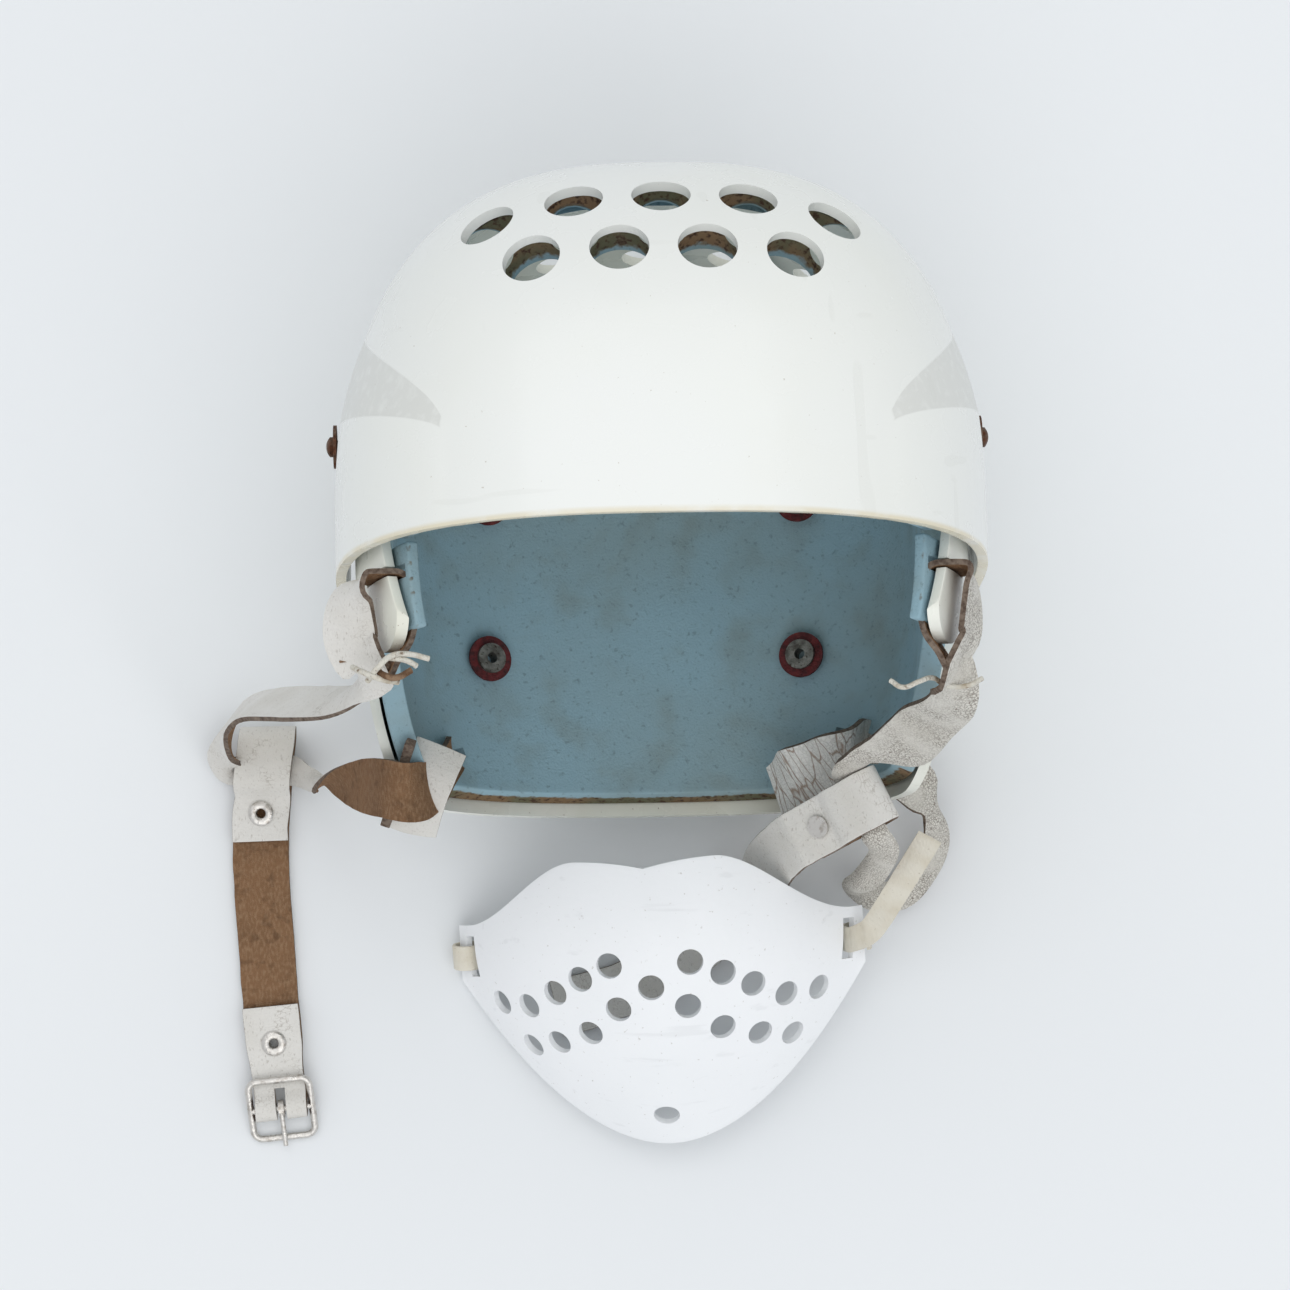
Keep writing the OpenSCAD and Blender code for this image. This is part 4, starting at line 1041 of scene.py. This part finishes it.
right_lace = lace("cotton_right_lace", [
    [(92, -41, 172), (88, -43, 170), (82, -43, 172), (77, -40.5, 178), (73, -41.5, 182), (68.5, -43, 182),
     (65, -41, 180)],
], 1.5)
fit(right_lace, "helmet", "right_lace", "lace", cotton)


# Eyelets, keeper rivet and buckle
# A nickelled eyelet closes the left keeper and the buckle fold, and a flat rivet closes the right
# keeper. The buckle is bent from 2.2 mm wire, with its centre bar and a loose prong.
def turned_ring(name, profile, place):
    """A ring turned from a closed profile of (radius, height) pairs about an upright axis."""
    bm = bmesh.new()
    verts = [bm.verts.new((radius, 0, height)) for radius, height in profile]
    edges = [bm.edges.new((verts[i], verts[(i + 1) % len(verts)])) for i in range(len(verts))]
    bmesh.ops.spin(
        bm, geom=verts + edges, cent=(0, 0, 0), axis=(0, 0, 1), angle=2 * math.pi, steps=40, use_merge=True
    )
    bmesh.ops.remove_doubles(bm, verts=bm.verts, dist=0.001)
    bmesh.ops.recalc_face_normals(bm, faces=bm.faces)
    bm.transform(beside @ Matrix.Translation(place))
    return made_real(piece_of(name, bm), 60)


def eyelet_profile(low, high):
    """Two rolled flanges on one hollow shank."""
    return [
        (1.45, low + 0.3), (1.7, low + 0.05), (2.6, low), (3.7, low + 0.05), (4.0, low + 0.3),
        (3.7, low + 0.6), (2.0, low + 0.65), (2.0, high), (3.7, high), (4.0, high + 0.25),
        (3.6, high + 0.62), (2.6, high + 0.8), (1.8, high + 0.72), (1.45, high + 0.3),
    ]


for name, place, node in (
    ("nickel_keeper_eyelet", left_eyelet, "left_keeper_eyelet"),
    ("nickel_buckle_eyelet", buckle_eyelet, "buckle_eyelet"),
):
    ring = turned_ring(name, eyelet_profile(0.02, over + 1.1), place)
    fit(ring, "helmet", node, "rivet_metal", nickel)
# A brown suede-coloured disc at the bottom of the left eyelet's bore is painted shade in the hole.
eyelet_shade_disc = bmesh.new()
drill(eyelet_shade_disc, left_eyelet + 0.5 * upward, upward, 3.2, 0.4, 32)
eyelet_shade_disc.transform(beside)
shade_in_eyelet = piece_of("painted_shade_in_keeper_eyelet", eyelet_shade_disc)
shade_in_eyelet.data.materials.append(suede.material)
extra(shade_in_eyelet)
over_solid("right_keeper_rivet", nickel)
over_solid("buckle_frame", nickel)
over_solid("buckle_prong", nickel)


# Chin guard
# A separate dome of 2 mm white polyethylene, vacuum formed and trimmed to a pointed chin and a waved
# lip edge, with twenty punched breathing holes and a slot near each end for its band.
guard_frame = (
    Matrix.Translation((middle_x - 0.001, middle_y - 0.142, 0.0094))
    @ Matrix.Rotation(math.radians(2), 4, "Z")
    @ Matrix.Rotation(math.radians(-6), 4, "Y")
    @ from_millimetres
)
guard_half, guard_rise = 65, 44


def ease(t):
    t = min(max(t, 0), 1)
    return t * t * (3 - 2 * t)


def guard_top(x):
    """The waved edge under the lip."""
    return 46 - 3 * max(1 - abs(x) / 24, 0) ** 2 - 20 * ease((abs(x) - 22) / 40)


def guard_low(x):
    """The edge that comes to a point under the chin."""
    return -47 + 55 * (abs(x) / guard_half) ** 1.9


def guard_spot(x, part):
    rise = guard_rise * (1 - (abs(x) / (guard_half + 1)) ** 2.4) * (1 - 0.92 * (1 - part) ** 2.6)
    return Vector((x, mix(guard_low(x), guard_top(x), part), rise))


def guard_normal(x, part):
    a = guard_spot(x + 0.02, part) - guard_spot(x - 0.02, part)
    b = guard_spot(x, min(part + 0.02, 1)) - guard_spot(x, max(part - 0.02, 0))
    return a.cross(b).normalized()


def guard_place(u, v):
    return guard_spot(guard_half * math.sin(math.radians(90 * mix(-1, 1, u) * 0.999)), v)


def part_at(x, y):
    return (y - guard_low(x)) / (guard_top(x) - guard_low(x))


guard = moulding("formed_chin_guard", 150, 64, guard_place, (0, 0, -40), 2, 0.55, guard_frame)
holes = bmesh.new()
guard_holes = [(0, 5.5), (0, -37)]
for x, y in (
    (12.8, 13), (22.6, 9), (31.4, 4.7), (41, 0.5), (50.7, 1.4),
    (11, -1), (21, -8.5), (32, -11.5), (41.5, -12.7),
):
    guard_holes += [(-x, y), (x, y)]
for x, y in guard_holes:
    part = part_at(x, y)
    drill(holes, guard_spot(x, part), guard_normal(x, part), 8.3, 14, 40)
hang_x, hang_y = 63.5, 16
hang_part = part_at(hang_x, hang_y)
end_normal = guard_normal(hang_x, hang_part)
end_middle = guard_spot(hang_x, hang_part) - end_normal
end_along = (guard_spot(hang_x, hang_part + 0.1) - guard_spot(hang_x, hang_part - 0.1)).normalized()
end_angle = math.atan2(end_normal.x, end_normal.z)
for side in (-1, 1):
    turn = Matrix.Rotation(side * end_angle, 4, "Y")
    at_end = Matrix.Translation((side * end_middle.x, end_middle.y, end_middle.z))
    inward = Matrix.Translation((side * -5.2, 0, 0))
    slot_box = at_end @ turn @ inward @ Matrix.Diagonal((5.4, 13, 20, 1))
    bmesh.ops.create_cube(holes, size=1, matrix=slot_box)
cut(guard, holes, guard_frame)
guard_white = Finish("chin_guard_white", (243, 245, 247), 0.42, shine=0.4)
guard_white.patches((234, 237, 239), 0.4, 22, 0.45, 0.75, 4)
guard_white.patches((180, 176, 168), 0.5, 700, 0.7, 0.76, 2)
guard_scratches = guard_white.grain(260, 0.64, 0.72, 3, (0.08, 1, 1))
guard_white.stain(guard_white.both(guard_scratches, 0.2), (206, 208, 210))
guard_white.worn(0.36, 0.55, 90, 0.3, 0.7, 5)
guard_white.pitted(0.00012, 0.4, 420, 0.3, 0.7, 3)
guard_white.pitted(0.0007, 0.3, 30, 0.2, 0.8, 3)
fit(guard, "guard", "chin_guard", "guard_plastic", guard_white)


# Guard bands
# The guard hangs on two cream rubbery bands, 8 mm wide and 1 mm thick. The left one is a closed loop
# round the guard's bar; the right one goes round its bar and up to the right strap, where it ends.
cream = Finish("cream_band", (222, 217, 203), 0.55, shine=0.35)
cream.patches((204, 194, 172), 0.6, 120, 0.42, 0.7, 5)
cream.patches((160, 146, 124), 0.5, 900, 0.64, 0.74, 4)
cream.worn(0.45, 0.7, 140, 0.3, 0.7, 5)
cream.pitted(0.0002, 0.6, 1000, 0.3, 0.7, 3, (1, 0.3, 1))
band_wide, band_thick = 8, 1
bar_wide, bar_thick, room = 5, 2, 0.5
band_radius = math.hypot(bar_wide, bar_thick) / 2 + band_thick + room
guard_to_table = beside.inverted() @ guard_frame


def band_turn(side, angles):
    """Stations round one end bar of the guard."""
    middle = Vector((side * end_middle.x, end_middle.y, end_middle.z))
    along = Vector((side * end_along.x, end_along.y, end_along.z))
    first = Vector((side, 0, 0))
    second = first.cross(along) * side
    rows = []
    for angle in angles:
        a = math.radians(angle)
        spot = middle + band_radius * (math.cos(a) * first + math.sin(a) * second)
        rows.append((tuple(guard_to_table @ spot), tuple(guard_to_table.to_3x3() @ along), 1))
    return rows


left_band = strap(
    "left_cream_band", band_turn(-1, range(0, 361, 30)), band_wide, band_thick, (cream,) * 3,
    steps=4, roll=0.0, slack=0.0,
)
fit(left_band, "guard", "left_guard_band", "band")
lifted = guard_to_table @ (end_middle + Vector((4, 1.5, band_radius + 4)))
right_band_route = band_turn(1, range(30, -251, -40)) + [
    (tuple(lifted), (-0.2, 1, 0), 1), ((67, -118, 31), (-0.6, 0.8, 0), 1),
] + laid((-0.85, 0.5, 0), 1, (72, -109, 42), (77, -100, 52), (82, -91, 62))
right_band = strap(
    "right_cream_band", right_band_route, band_wide, band_thick, (cream,) * 3,
    roll=0.0, slack=0.1, seed=6.0,
)
fit(right_band, "helmet", "right_guard_band", "band")
